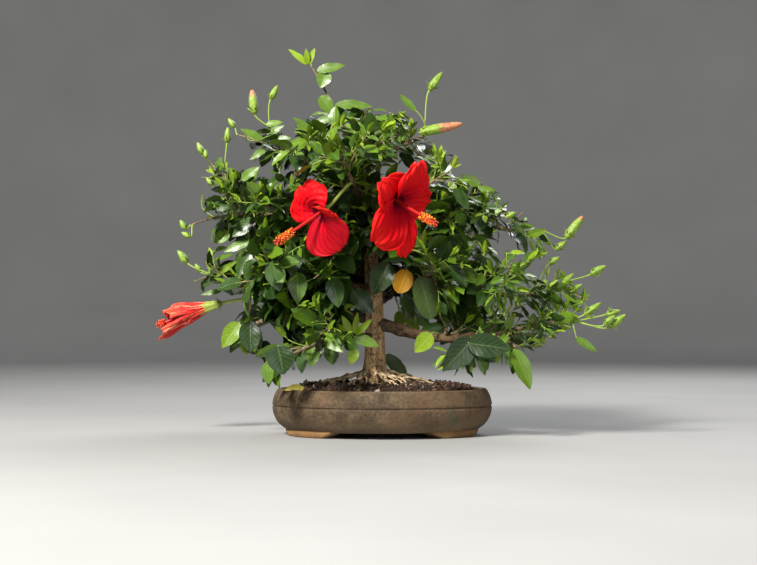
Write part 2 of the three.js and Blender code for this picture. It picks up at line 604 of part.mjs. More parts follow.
/** A petal's middle surface: it leaves the throat and bends from the first leaning angle to the second. */
function petalPoint({ length, open }, around, share, across) {
  const [first, last] = open.map(THREE.MathUtils.degToRad);
  const bend = last - first;
  const lean = first + bend * share;
  const radius = BLOOM.throat + (length * (Math.cos(first) - Math.cos(lean))) / bend;
  const height = (length * (Math.sin(lean) - Math.sin(first))) / bend;
  const roundness = Math.max(Math.sin(Math.PI * share ** 2), 0) ** BLOOM.petalRoundness;
  const halfWidth = BLOOM.petalRootHalf + BLOOM.petalHalfWidth * roundness;
  const sweep = (across * halfWidth) / Math.max(radius, BLOOM.leastRadius);
  const lap = BLOOM.lap * across * halfWidth * share;
  return vec(radius * Math.cos(around + sweep), radius * Math.sin(around + sweep), height + lap);
}

/** A thin closed sheet on both sides of a surface of (share, across). */
function sheetSolid(surface, thick, rows, columns) {
  const corners = { front: [], back: [] };
  const step = 1e-3;
  for (let i = 0; i <= rows; i++) {
    for (let j = 0; j <= columns; j++) {
      const [share, across] = [i / rows, (2 * j) / columns - 1];
      const point = surface(share, across);
      const along = surface(share + step, across).sub(surface(share - step, across));
      const over = surface(share, across + step).sub(surface(share, across - step)).cross(along).normalize();
      corners.front.push(point.clone().addScaledVector(over, thick / 2));
      corners.back.push(point.addScaledVector(over, -thick / 2));
    }
  }
  const width = columns + 1;
  const back = corners.front.length;
  const triangles = [];
  const quad = (a, b, c, d) => triangles.push(a, b, c, a, c, d);
  for (let i = 0; i < rows; i++) {
    for (let j = 0; j < columns; j++) {
      const a = i * width + j;
      quad(a, a + 1, a + 1 + width, a + width);
      quad(back + a, back + a + width, back + a + 1 + width, back + a + 1);
    }
    const [left, right] = [i * width, i * width + columns];
    quad(left, left + width, back + left + width, back + left);
    quad(right, back + right, back + right + width, right + width);
  }
  for (let j = 0; j < columns; j++) {
    const far = rows * width + j;
    quad(j, back + j, back + j + 1, j + 1);
    quad(far, far + 1, back + far + 1, back + far);
  }
  const points = [...corners.front, ...corners.back].flatMap((corner) => corner.toArray());
  return solidFrom(points, triangles);
}

const axisLine = (from, to) => new THREE.LineCurve3(vec(0, 0, from), vec(0, 0, to));

/** Five open petals, each a thin sheet that laps over the next. */
function openPetals(bloom) {
  return Array.from({ length: BLOOM.petals }, (_, k) => {
    const around = bloom.turn + (2 * Math.PI * k) / BLOOM.petals;
    return sheetSolid((share, across) => petalPoint(bloom, around, share, across), BLOOM.petalThick, 3, 2);
  });
}

/** Petals rolled shut: a spindle with one lobe a petal, twisted along its length. */
function rolledPetals({ length }) {
  const radiusAt = (share, angle) => {
    const body = ROLLED.root + ROLLED.swell * Math.sin(Math.PI * (0.08 + 0.8 * share ** 1.3));
    return body * (1 + ROLLED.lobe * Math.cos(BLOOM.petals * (angle + ROLLED.twist * share)));
  };
  return [limbSolid(axisLine(0, length), radiusAt, 2 * BLOOM.petals, 6)];
}

/** A bloom in its own frame, +Z out of its throat: calyx, petals, column and the head of stamens. */
function bloomSolid(bloom) {
  const reach = bloom.length * BLOOM.columnShare;
  const calyx = limbSolid(axisLine(-BLOOM.calyxFoot, BLOOM.calyxLength), taper(...BLOOM.calyx), 7, 1);
  const column = limbSolid(axisLine(0, reach), taper(...BLOOM.column), 5, 1);
  const headStart = reach * (bloom.open ? BLOOM.stamensFrom : BLOOM.stigmaFrom);
  const headRadius = (share) => BLOOM.head + BLOOM.headSwell * Math.sin(Math.PI * lerp(0.15, 0.85, share));
  const stamens = limbSolid(axisLine(headStart, reach), headRadius, 6, 3);
  return union([calyx, column, stamens, ...(bloom.open ? openPetals(bloom) : rolledPetals(bloom))]);
}

/** A bloom on its stalk, placed by its calyx and the way it faces. */
function bloomNode(name) {
  const bloom = BLOOMS[name];
  const { limb, at, calyx } = bloom;
  const faces = bloom.faces.clone().normalize();
  const start = stemStart(limb, at);
  const lead = STEM.lead * start.distanceTo(calyx);
  const leaving = start.clone().addScaledVector(limbs[limb].line.getTangent(at), lead);
  const arriving = calyx.clone().addScaledVector(faces, -lead);
  const line = new THREE.CubicBezierCurve3(start, leaving, arriving, calyx);
  const stalk = limbSolid(line, taper(...BLOOM.stalk), 5, 5);
  const turned = new THREE.Quaternion().setFromUnitVectors(UP, faces);
  const placed = new THREE.Matrix4().compose(calyx, turned, vec(1, 1, 1));
  const whole = union([stalk, bloomSolid(bloom).transform(placed.elements)]);
  return node(name, largestPiece(at < 1 ? whole.subtract(grownLimb(limb)) : whole), PETALS);
}

// Assembly

const pottery = new THREE.Group();
pottery.add(node("pot", potSolid(), STONEWARE), node("soil", soilSolid(), GRIT));

const wood = new THREE.Group();
wood.add(node("trunk", trunkSolid(), BARK));
for (const name of Object.keys(BOUGHS)) {
  wood.add(node(`bough_${name}`, boughSolid(name), BARK));
}

const foliage = new THREE.Group();
Object.keys(MASSES).forEach((name, index) => {
  foliage.add(node(`leaves_${name}`, massSolid(name, index), LEAVES));
});

const flowers = new THREE.Group();
flowers.add(...Object.keys(BLOOMS).map(bloomNode));

const bonsai = new THREE.Group();
bonsai.add(pottery, wood, foliage, flowers);

export default bonsai;
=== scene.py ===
"""Hibiscus bonsai in an oval stoneware pot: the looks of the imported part.

Shapes are worked out in millimetres, +Z up and -Y towards the viewer, and stored in metres. The limbs, the
masses of foliage and the blooms stand where the solids do: their tables repeat the part's own sizes, and the
foliage grows by the part's own rule, carried on to finer twigs and leaves of life size.
"""

from collections import namedtuple

import bpy
import numpy as np
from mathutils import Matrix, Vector


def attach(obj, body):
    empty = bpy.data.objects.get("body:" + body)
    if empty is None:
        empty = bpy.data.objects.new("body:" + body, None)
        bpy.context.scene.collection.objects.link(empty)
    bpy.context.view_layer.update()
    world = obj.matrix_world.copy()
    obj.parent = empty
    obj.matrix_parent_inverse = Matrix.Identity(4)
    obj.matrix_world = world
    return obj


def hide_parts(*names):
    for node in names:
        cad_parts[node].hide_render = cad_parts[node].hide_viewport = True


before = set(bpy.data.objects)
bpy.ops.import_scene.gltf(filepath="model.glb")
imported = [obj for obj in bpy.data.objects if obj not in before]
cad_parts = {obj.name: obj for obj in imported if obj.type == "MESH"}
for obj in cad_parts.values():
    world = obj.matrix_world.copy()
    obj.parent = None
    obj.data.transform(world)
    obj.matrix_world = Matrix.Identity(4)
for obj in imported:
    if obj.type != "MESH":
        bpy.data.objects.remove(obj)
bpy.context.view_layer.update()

MM = 0.001
GOLDEN_TURN = np.pi * (3 - np.sqrt(5))
UP = np.array([0.0, 0.0, 1.0])
BODY = "root"

# Sizes of the pot, the trunk and the roots

POT = dict(depth_share=0.77, height=60, foot_height=7.5, base_half=122, belly_half=143, belly_height=29,
           belt_height=38, belt_half=1.8, rim_half=136, wall=7, floor=6, lip=2, wave=0.25)
FOOT = dict(inner=97, outer=126, start=0.17, end=1.04, slope=0.16)
STAIN = dict(x=89, height=27, half_width=15, half_height=20)  # green bloom on the pot's front
GROUND = 66
WALL_DROP = 3
PLATEAU_HALF = 98
TRUNK = [(-10, 0, 62), (-10, 0, 170), (-5, 0, 250), (-40, 0, 372)]
GIRTH = dict(shaft=12.6, tip=4.2, flare=11, flare_height=15, flare_drawn_in=0.15, flute_height=30,
             taper_power=1.6)
ROOTS = dict(count=15, shortest=50, longest=92, thick=3.1, thin=1.3, shoulder=14, start=12, arch=8.5,
             sunk=1.5, knee=0.6, lead=13, dip=2, fork_step=12, wobble=1.9)
ROOT_FORKS = [(0, 1, 1), (0.26, 0.86, 0.66)]  # turn, share of the reach, share of the girth
GRIT = dict(count=1900, small=0.9, large=4.4, variety=(0.65, 1.25), corner=(0.75, 1.2),
            dealt=[0.52, 0.09, 0.39])
SEEDS = dict(roots=41, first_mass=1000, step=77, pot=3, soil=5, wood=7, foliage=11, blooms=17)

# Bark relief: waves round a limb, waves along it, and their depth

RELIEF = dict(
    flutes=[(3, 1.2, 0.6), (5, 0.8, 0.8), (7, 1.7, 0.6)],
    ridges=[(13, 5, 0.26), (21, 9, 0.2), (4, 23, 0.2), (9, 31, 0.18)],
    roots=[(2, 3, 0.3), (3, 7, 0.2), (1, 11, 0.25)],
    boughs=[(3, 2, 0.25), (5, 5, 0.2), (8, 9, 0.14), (2, 17, 0.14)],
)

# Main boughs: where each leaves the trunk, the point it bends towards, its tip, its radius at both ends

Bough = namedtuple("Bough", "at via tip thick thin")
BOUGHS = {
    "right_low": Bough(0.27, (105, -20, 110), (172, -42, 136), 7.5, 3.8),
    "left_low": Bough(0.28, (-100, 8, 168), (-156, 20, 147), 6.2, 3.4),
    "front_left_low": Bough(0.21, (-45, -50, 130), (-84, -84, 118), 3.8, 2.5),
    "left_mid": Bough(0.42, (-90, -12, 200), (-164, 2, 179), 5.6, 3),
    "left_upper": Bough(0.6, (-80, 22, 262), (-160, 26, 298), 5.2, 2.8),
    "top_left": Bough(0.84, (-75, -10, 340), (-124, -14, 370), 4.2, 2.5),
    "top_right": Bough(0.88, (-5, 6, 366), (46, 2, 384), 4, 2.5),
    "right_upper": Bough(0.68, (70, 10, 300), (146, -4, 270), 5, 2.8),
    "right_mid": Bough(0.53, (70, -22, 192), (162, -14, 180), 5.4, 3),
    "front_upper": Bough(0.76, (-28, -50, 300), (-38, -92, 322), 4, 2.4),
    "front_right": Bough(0.64, (20, -40, 285), (42, -72, 306), 4, 2.4),
    "back_low": Bough(0.36, (5, 70, 178), (22, 118, 186), 5, 2.8),
    "back_left": Bough(0.48, (-60, 55, 222), (-104, 102, 234), 4.6, 2.6),
    "back_right": Bough(0.57, (45, 60, 242), (90, 108, 252), 4.6, 2.6),
    "back_upper": Bough(0.79, (-35, 45, 318), (-42, 88, 344), 4, 2.4),
}
KNOTS = dict(count=6, between=(0.1, 0.97), half=0.022, height=0.16, collar=0.35, collar_fade=14, wobble=1.6)

# Masses of foliage: the limb that carries each, how far along it the stem leaves, the stem's tip, how far
# side twigs spread, how many there are, and how many shoots end in buds

Mass = namedtuple("Mass", "limb at tip spread twigs buds", defaults=[0])
MASSES = {
    "top_leader": Mass("trunk", 1, (-97, 0, 488), 44, 3),
    "top_centre": Mass("trunk", 0.93, (-12, -28, 430), 50, 3),
    "front_centre": Mass("trunk", 0.85, (2, -86, 372), 50, 3),
    "top_right_bud": Mass("top_right", 1, (70, 14, 448), 46, 3, 1),
    "top_right_outer": Mass("top_right", 0.72, (88, -46, 398), 44, 3, 1),
    "top_right_back": Mass("top_right", 0.45, (48, 92, 378), 54, 3),
    "top_left_bud": Mass("top_left", 1, (-158, -22, 430), 46, 3, 2),
    "top_left_outer": Mass("top_left", 0.75, (-194, 14, 392), 44, 3, 1),
    "top_left_front": Mass("top_left", 0.4, (-92, -88, 378), 52, 3),
    "top_left_back": Mass("top_left", 0.55, (-116, 84, 376), 54, 3),
    "left_upper_tip": Mass("left_upper", 1, (-232, 18, 362), 44, 3, 1),
    "left_upper_low": Mass("left_upper", 0.8, (-252, -22, 268), 44, 3, 1),
    "left_upper_front": Mass("left_upper", 0.5, (-158, -76, 300), 52, 3),
    "left_upper_back": Mass("left_upper", 0.65, (-196, 96, 296), 54, 3),
    "left_mid_tip": Mass("left_mid", 0.82, (-250, 44, 224), 42, 3, 1),
    "left_mid_front": Mass("left_mid", 0.6, (-134, -96, 218), 52, 4),
    "left_mid_inner": Mass("left_mid", 0.3, (-58, -84, 230), 48, 3),
    "left_low_tip": Mass("left_low", 1, (-208, -10, 122), 44, 3),
    "left_low_front": Mass("left_low", 0.5, (-104, -88, 166), 50, 4),
    "left_low_back": Mass("left_low", 0.7, (-164, 100, 152), 54, 3),
    "left_low_hang": Mass("front_left_low", 1, (-138, -112, 92), 42, 3),
    "front_left_low": Mass("front_left_low", 0.6, (-62, -112, 152), 42, 3),
    "front_upper": Mass("front_upper", 1, (-52, -150, 350), 50, 3),
    "front_right": Mass("front_right", 1, (84, -112, 332), 50, 3),
    "front_right_low": Mass("right_mid", 0.34, (54, -106, 228), 48, 3),
    "right_upper_tip": Mass("right_upper", 1, (246, 2, 266), 46, 3, 1),
    "right_upper_top": Mass("right_upper", 0.55, (138, 28, 334), 52, 3),
    "right_upper_side": Mass("right_upper", 0.75, (172, -78, 290), 50, 3, 1),
    "right_mid_tip": Mass("right_mid", 1, (260, 18, 206), 46, 3, 1),
    "right_mid_front": Mass("right_mid", 0.7, (158, -116, 216), 52, 3),
    "right_low_tip": Mass("right_low", 1, (281, -76, 148), 46, 3, 2),
    "right_low_under": Mass("right_low", 0.84, (250, 26, 118), 44, 3),
    "right_low_hang": Mass("right_low", 0.8, (176, -88, 94), 40, 3),
    "right_low_front": Mass("right_low", 0.5, (96, -104, 118), 40, 3),
    "right_low_back": Mass("right_low", 0.62, (150, 78, 152), 50, 3),
    "back_low": Mass("back_low", 1, (2, 168, 186), 54, 4),
    "back_left": Mass("back_left", 1, (-112, 160, 244), 54, 4),
    "back_right": Mass("back_right", 1, (98, 160, 270), 54, 4),
    "back_upper": Mass("back_upper", 1, (-32, 148, 336), 54, 4),
}

# Blooms: the limb and the place on it that carry the stalk, the calyx, the way the bloom faces, its petals'
# length, and how far they lean from the axis at the base and the tip in degrees. Each petal has a turn about
# the axis and a further lean in degrees, shares of the length, the width and the ruffling, a twist, how far
# its creases run across it, and its depth: how much painted shade darkens its red.

Petal = namedtuple("Petal", "turn lean length width ruffle twist ripple depth", defaults=[1, 0.2, 0, 0])
Bloom = namedtuple("Bloom", "limb at calyx faces length open petals", defaults=[None, None])
BLOOMS = {
    "bloom_left": Bloom("front_upper", 0.9, (-68, -124, 285), (-0.75, -0.49, -0.57), 66, (22, 120), [
        Petal(55, 30, 0.73, 1.2, 1, 0.8, 1),
        # This petal's depth is painted shade, for a petal that lies in shade.
        Petal(235, 7, 0.95, 1.14, 0.3, -0.84, 0, 0.65),
        Petal(306, 0, 0.68, 0.55, 0.6, 0.6),
        Petal(186, 30, 0.85, 0.78, 0.7, 0.4),
        Petal(122, 40, 0.68, 0.75, 1, 0.4),
    ]),
    "bloom_right": Bloom("front_right", 0.86, (12, -112, 299), (0.58, -0.7, -0.42), 70, (20, 106), [
        Petal(188, 14, 0.96, 1),
        Petal(132, 4, 1.06, 0.9),
        Petal(50, 10, 0.74, 1),
        Petal(322, 8, 1.16, 0.52),
        Petal(268, -2, 1.1, 1.2),
    ]),
    "bloom_closing": Bloom("left_mid", 1, (-212, 26, 170), (-0.96, 0.02, -0.26), 84),
}

# Clearings that twigs and the leaves along them keep out of: low x, low z, high x, high z, and the depths
# they run between. NEAR and FAR lie before and behind the whole plant.

NEAR, FAR = -400, 400
CLEARINGS = np.array([
    (-32, 60, 16, 226, NEAR, 0),
    (6, 60, 62, 122, NEAR, FAR),
    (4, 158, 22, 180, NEAR, FAR),
    (-112, 60, -24, 92, NEAR, FAR),
])

# Places that leaves, tufts and the ends of twigs keep out of besides, in the same terms

OPEN_BOXES = [
    (60, 0, 260, 68, NEAR, FAR),
    (-165, 0, -20, 62, NEAR, FAR),
    (42, 146, 68, 206, NEAR, -38),
    (14, 178, 40, 216, NEAR, -44),
    (-300, 138, -178, 186, NEAR, 60),
    (4, 122, 116, 148, NEAR, -26),
    (70, 84, 160, 130, NEAR, -92),
    (46, 384, 130, 424, NEAR, FAR),
    (-206, 350, -168, 368, NEAR, FAR),
    (-130, 376, -112, 420, NEAR, FAR),
    (-156, 120, -134, 142, NEAR, FAR),
    (153, 56, 197, 108, NEAR, -60),
    (-160, 66, -98, 122, NEAR, -96),
    (-188, 104, -153, 150, NEAR, -14),
    (-212, 108, -184, 148, NEAR, 0),
    (190, 203, 228, 217, NEAR, FAR),
]

# Marked leaves: large ones that show one by one. Each hangs by its stalk on a limb or stem, at a share of it,
# and has a base, a tip, a width as a share of its length, a kind and a tint.

Marked = namedtuple("Marked", "carrier at base tip width kind tint", defaults=[0.6])
MARKED_LEAVES = [
    Marked("right_mid", 0.3, (48, -38, 204), (64, -42, 149), 0.58, "dull"),
    Marked("right_mid", 0.24, (33, -36, 212), (20, -44, 183), 0.8, "yellow"),
    Marked("right_low_hang", 0.9, (163, -92, 112), (186, -98, 63), 0.46, "mid", 1),
    Marked("right_low_front", 0.85, (112, -98, 125), (76, -112, 86), 0.62, "dark", 0.1),
    Marked("right_low_front", 0.9, (106, -100, 120), (158, -110, 113), 0.58, "dark", 0),
    Marked("trunk", 0.1, (4, 14, 103), (33, 18, 74), 0.46, "dull"),
    Marked("right_low", 0.42, (63, -34, 131), (42, -40, 107), 0.7, "young"),
    Marked("left_low", 0.96, (-170, -22, 147), (-168, -34, 107), 0.7, "dark", 0.2),
    Marked("left_low_tip", 0.5, (-184, -16, 145), (-206, -24, 113), 0.6, "young", 0.2),
    Marked("left_low_hang", 0.7, (-128, -116, 117), (-120, -124, 82), 0.95, "dark", 0.1),
    Marked("left_low_hang", 0.95, (-142, -118, 96), (-138, -124, 70), 0.6, "mid"),
    Marked("front_left_low", 0.45, (-36, -44, 127), (-4, -52, 116), 0.44, "mid"),
    Marked("front_left_low", 0.8, (-88, -74, 122), (-88, -84, 90), 0.68, "mid"),
    Marked("front_left_low", 0.9, (-101, -80, 106), (-100, -86, 82), 0.55, "dark"),
    Marked("front_left_low", 0.6, (-66, -62, 115), (-62, -70, 92), 0.72, "mid"),
    Marked("front_left_low", 0.4, (-34, -40, 112), (-40, -46, 92), 0.66, "young"),
    Marked("front_left_low", 0.45, (-38, -46, 131), (-53, -52, 156), 0.34, "young"),
    Marked("front_left_low", 0.45, (-35, -46, 132), (-31, -54, 158), 0.3, "young"),
    Marked("front_left_low", 0.45, (-33, -46, 130), (-13, -54, 150), 0.3, "young"),
    Marked("top_leader", 0.95, (-97, 0, 482), (-122, -2, 503), 0.27, "young"),
    Marked("top_leader", 0.95, (-96, 0, 482), (-88, -4, 503), 0.36, "young"),
    Marked("top_leader", 0.93, (-97, -1, 482), (-99, -10, 501), 0.36, "young"),
    Marked("top_leader", 0.8, (-85, -4, 473), (-48, -8, 481), 0.38, "mid"),
    Marked("top_leader", 0.74, (-72, -4, 471), (-80, -12, 450), 0.85, "mid"),
    Marked("top_leader", 0.55, (-80, -4, 440), (-63, -10, 415), 0.62, "mid"),
    Marked("top_leader", 0.5, (-60, -2, 429), (-12, -6, 428), 0.3, "mid"),
    Marked("top_leader", 0.25, (-90, -12, 391), (-114, -18, 411), 0.34, "mid"),
    Marked("top_right_bud", 0.4, (44, 0, 421), (23, -4, 443), 0.32, "mid"),
    Marked("top_left_bud", 0.5, (-150, -22, 400), (-128, -26, 404), 0.4, "young", 0),
    Marked("top_left_bud", 0.4, (-148, -24, 387), (-126, -30, 399), 0.36, "mid"),
    Marked("top_left_bud", 0.35, (-154, -24, 381), (-182, -28, 395), 0.36, "mid"),
    Marked("top_left_outer", 0.5, (-150, -14, 370), (-171, -20, 356), 0.38, "mid"),
    Marked("top_left_bud", 0.3, (-141, -22, 379), (-117, -28, 383), 0.46, "mid"),
    Marked("top_left_front", 0.7, (-88, -60, 388), (-110, -66, 390), 0.4, "mid"),
    Marked("top_left_front", 0.6, (-92, -58, 375), (-120, -64, 371), 0.42, "young", 0),
    Marked("top_left_front", 0.8, (-85, -66, 395), (-57, -70, 408), 0.36, "mid"),
    Marked("left_upper_tip", 0.45, (-184, 8, 331), (-161, 2, 349), 0.46, "mid", 1),
    Marked("left_upper_tip", 0.5, (-197, 10, 322), (-225, 4, 337), 0.4, "mid", 1),
    Marked("left_upper_low", 0.5, (-195, -4, 297), (-219, -8, 290), 0.34, "dark"),
    Marked("left_upper_tip", 0.2, (-182, 4, 297), (-175, -4, 324), 0.46, "dark", 1),
    Marked("left_upper_tip", 0.85, (-217, 16, 345), (-211, 12, 362), 0.5, "mid"),
    Marked("left_mid_front", 0.4, (-164, -52, 226), (-166, -60, 190), 0.62, "dark", 1),
    Marked("left_mid_front", 0.9, (-136, -104, 221), (-126, -112, 184), 0.66, "dark", 1),
    Marked("left_mid_inner", 0.8, (-62, -84, 202), (-54, -92, 164), 0.6, "dark"),
    Marked("left_mid_front", 0.6, (-106, -84, 208), (-104, -94, 170), 0.62, "mid", 0.2),
    Marked("right_low_tip", 0.7, (243, -72, 126), (270, -76, 109), 0.34, "mid"),
    Marked("right_mid_tip", 0.7, (236, 2, 181), (264, 0, 170), 0.28, "young", 0.1),
    Marked("right_mid_tip", 0.8, (241, 6, 192), (234, 2, 214), 0.5, "young", 0.2),
    Marked("right_upper_tip", 0.45, (184, -10, 254), (169, -14, 278), 0.36, "mid"),
    Marked("right_upper_tip", 0.5, (186, -12, 256), (213, -16, 265), 0.4, "young", 0.1),
    Marked("left_mid_tip", 0.7, (-210, 20, 187), (-238, 16, 182), 0.26, "mid"),
    Marked("left_mid_tip", 0.72, (-222, 24, 205), (-190, 14, 227), 0.24, "young", 0.2),
    Marked("left_upper_low", 0.55, (-199, -2, 263), (-219, -6, 249), 0.7, "young", 0),
    Marked("left_upper_low", 0.35, (-172, -12, 250), (-205, -16, 237), 0.36, "mid", 1),
    Marked("left_upper_low", 0.3, (-164, -16, 279), (-194, -22, 256), 0.5, "dark", 1),
    Marked("left_mid_tip", 0.4, (-171, -6, 235), (-188, -14, 204), 0.5, "dark", 1),
    Marked("right_upper_top", 0.85, (128, 14, 326), (103, 8, 338), 0.5, "mid", 0.8),
    Marked("right_upper_top", 0.8, (126, 10, 321), (149, 6, 318), 0.36, "mid", 1),
    Marked("right_mid", 0.12, (9, -34, 221), (-12, -40, 181), 0.7, "dark", 0.4),
    Marked("left_mid", 0.26, (-38, -32, 186), (-11, -38, 157), 0.66, "dark", 0.2),
]

# The room kept open before a marked leaf, in shares of its size, the fallen leaf, and the ways leaves face

ROOM = dict(across=0.3, along=0.36, gap=2)
FALLEN = dict(base=(-98, -44, 60.5), tip=(-124, -53, 62), width=0.62, fold=0.3, bend=0.12, tint=0.9)
FACING = dict(upwards=np.array([0.0, -1.0, 0.35]), outwards=np.array([0.55, -1.0, 0.0]),
              fallen=np.array([0.1, -0.55, 1.0]))


def room_before(leaf):
    """The open box before a marked leaf: the middle of its breadth and height, from its front edge on."""
    (low_x, front, low_z), (high_x, _, high_z) = np.sort([leaf.base, leaf.tip], axis=0)
    half = ROOM["across"] * leaf.width * np.linalg.norm(np.subtract(leaf.tip, leaf.base))
    middle_x, middle_z = (low_x + high_x) / 2, (low_z + high_z) / 2
    wide, high = max(half, ROOM["along"] * (high_x - low_x)), max(half, ROOM["along"] * (high_z - low_z))
    return middle_x - wide, middle_z - high, middle_x + wide, middle_z + high, NEAR, front - ROOM["gap"]


OPEN_SKY = np.array(OPEN_BOXES + [room_before(leaf) for leaf in MARKED_LEAVES])

# Buds: the stem that carries each and its share, the bud's foot and tip, its radius, and the share of its
# length at which petals show

Bud = namedtuple("Bud", "stem at foot tip radius opens", defaults=[1])
BUDS = [
    Bud("top_left_bud", 0.56, (-165, -22, 414), (-168, -22, 445), 5.6, 0.68),
    Bud("top_left_bud", 0.54, (-144, -22, 433), (-135, -22, 451), 4.2),
    Bud("top_left_outer", 0.94, (-193, 14, 401), (-202, 14, 413), 3.8),
    Bud("left_upper_tip", 0.66, (-204, 18, 381), (-203, 18, 402), 4),
    Bud("left_upper_tip", 0.95, (-236, 18, 366), (-243, 18, 382), 4.2),
    Bud("left_upper_tip", 0.93, (-231, 12, 360), (-232, 12, 372), 3),
    Bud("left_upper_tip", 0.2, (-222, 16, 325), (-231, 16, 335), 3.6),
    Bud("left_upper_low", 0.95, (-253, -22, 265), (-260, -22, 277), 4),
    Bud("left_upper_low", 0.92, (-246, -26, 255), (-258, -26, 261), 3.4),
    Bud("left_mid_tip", 0.76, (-259, 44, 224), (-272, 44, 241), 5),
    Bud("left_mid_tip", 0.74, (-241, 40, 212), (-248, 40, 223), 3.4),
    Bud("top_right_bud", 0.06, (62, 14, 450), (79, 14, 474), 5.2),
    Bud("top_right_outer", 0.5, (48, -46, 387), (102, -46, 398), 6, 0.42),
    Bud("right_upper_side", 0.72, (156, -78, 277), (167, -78, 283), 3.6),
    Bud("right_upper_tip", 0.72, (240, 2, 255), (262, 2, 283), 5.8, 0.78),
    Bud("right_upper_tip", 0.7, (228, 6, 240), (241, 6, 252), 4.2),
    Bud("right_mid_tip", 0.4, (217, 0, 221), (231, 0, 230), 4),
    Bud("right_mid_tip", 0.86, (274, 18, 208), (294, 18, 219), 5),
    Bud("right_mid_tip", 0.7, (248, 14, 185), (262, 14, 195), 3.6),
    Bud("right_low_tip", 0.72, (284, -76, 139), (305, -76, 155), 5.2),
    Bud("right_low_tip", 0.72, (281, -70, 155), (300, -68, 160), 4),
    Bud("right_low_tip", 0.7, (277, -82, 142), (290, -84, 154), 4),
    Bud("right_low_tip", 0.6, (254, -70, 155), (275, -70, 170), 4.2),
]

# The crown's edge in the front view, which leaves keep inside: height, left and right, from the pot up. Side
# twigs may pass it by a slack, and the tips' tufts by another. The camera comes with it.

EDGE = np.array([
    (57, -158, 186),
    (100, -160, 190),
    (113, -212, 205),
    (148, -212, 264),
    (187, -240, 260),
    (225, -230, 229),
    (265, -224, 213),
    (298, -238, 163),
    (322, -225, 146),
    (337, -229, 97),
    (362, -212, 94),
    (366, -165, 93),
    (389, -183, 80),
    (404, -155, 48),
    (410, -115, 46),
    (425, -84, 16),
    (432, -60, -110),
    (505, -60, -110),
])
EDGE_SLACK = dict(twig=8, tuft=12)
CAMERA = dict(x=-4.5, distance=2000, height=152, aim=197, lens=73.1)

# Sprays that fill the crown's heart, in the masses' terms

SPRAYS = [
    Mass("trunk", 0.64, (-36, -62, 262), 34, 3),
    Mass("trunk", 0.74, (-20, -66, 312), 36, 4),
    Mass("trunk", 0.6, (28, -50, 246), 34, 3),
    Mass("trunk", 0.82, (-58, -52, 340), 36, 3),
    Mass("front_upper", 0.35, (-70, -46, 306), 36, 3),
    Mass("left_upper", 0.3, (-72, -30, 262), 36, 3),
    Mass("left_upper", 0.16, (-44, 34, 252), 36, 3),
    Mass("left_mid", 0.26, (-64, -34, 206), 36, 3),
    Mass("left_low", 0.3, (-62, -48, 172), 36, 3),
    Mass("left_low", 0.4, (-84, 44, 176), 36, 3),
    Mass("right_upper", 0.25, (46, -34, 294), 36, 3),
    Mass("right_upper", 0.45, (92, -34, 284), 38, 3),
    Mass("right_mid", 0.42, (76, -44, 202), 36, 3),
    Mass("right_mid", 0.55, (102, 34, 204), 38, 3),
    Mass("right_low", 0.42, (74, -46, 152), 32, 3),
    Mass("right_low", 0.45, (92, 36, 160), 36, 3),
    Mass("right_mid", 0.5, (86, 22, 166), 34, 3),
    Mass("back_right", 0.35, (30, 40, 262), 40, 3),
    Mass("back_left", 0.35, (-52, 58, 258), 40, 3),
    Mass("back_low", 0.5, (52, 80, 226), 42, 4),
    Mass("back_low", 0.65, (-36, 100, 222), 42, 4),
    Mass("back_right", 0.5, (92, 84, 220), 42, 4),
    Mass("back_left", 0.6, (-104, 92, 206), 42, 4),
]

# How stems, twigs, leaves and buds grow: shares of a length, parts of a direction, and sizes

CROWN = dict(middle=np.array([-5.0, 0.0, 215.0]), half_width=303, half_depth=194, top=504)
STEM = dict(bare=0.2, lead=0.3, first_twig=0.16, last_twig=0.86, least=0.5)
TWIG_WAY = dict(aside=0.8, onwards=0.45, outwards=0.35, upwards=0.15)
TWIG_BARE = 0.3
TWIG_TRIES = (1, 0.75, 0.5)
TWIG_PROBES = np.array([[0.6], [0.8], [1.0]])
TWIG_BEND = dict(droop=0.2, share=0.12)
LEAF_WAY = dict(aside=0.75, onwards=0.55, outwards=0.2, low_droop=0.75, high_droop=0.05)
LEAF_FACE = dict(any_way=0.55, upwards=0.5, outwards=0.55)
LEAF_TRIES = [(0, 1), (2, 1), (4, 1), (0, 0.7), (2, 0.7), (4, 0.7)]
VARIETY = dict(twig=(0.75, 1.15), leaf=(0.84, 1.26), droop=(0.6, 1.4), width=(0.88, 1.12), fold=(0.4, 1.5),
               bend=(-0.2, 1.3), bract=(0.8, 1.2))
AGE = dict(width=(1.12, 0.68), fold=(0.14, 0.42), bend=(0.3, 0.1), right_width=0.84)  # oldest, youngest
# The side share brightens leaves on the right: partly younger growth, partly painted back-light.
YOUTH = dict(outside=0.45, side=0.06, side_reach=90, chance=0.5, usual=0.32, half_height=260, mid=0.32,
             young=0.6)
SMALLER = dict(right_of=20, above=215, over=120)  # where leaves start to shrink, and the way it takes
SITE_SHARES = np.array([0.4, 0.7, 1.0])
LEAF = dict(length=56, least=0.64, width_share=0.6, spacing=8, apart=4.5, tip_loss=0.35, stalk_share=0.2,
            last=0.97)
BLADE = dict(rows=11, columns=5, close_ends=0.6, teeth=0.04, teeth_from=0.25, wave=0.025, waves=5,
             drawn_in=0.15)
POINTED, ROUND = (0.56, 0.86), (0.5, 0.52)  # powers of the way in and of the way out
MARKED_BLADE = dict(fold=0.16, bend=0.1, teeth=0.025, stalk=0.8, stalk_rise=8)
TUFT = dict(leaves=3, length=(15, 27), spread=0.55, rise=0.25, every=2)
FINE = dict(every=12, reach=29, bare=0.15, spacing=7, radius=0.75, leaf=0.86)
RADII = dict(stem=2.6, twig=1.3, thin=0.75, stalk=0.55, knot=0.4, knots_apart=9)
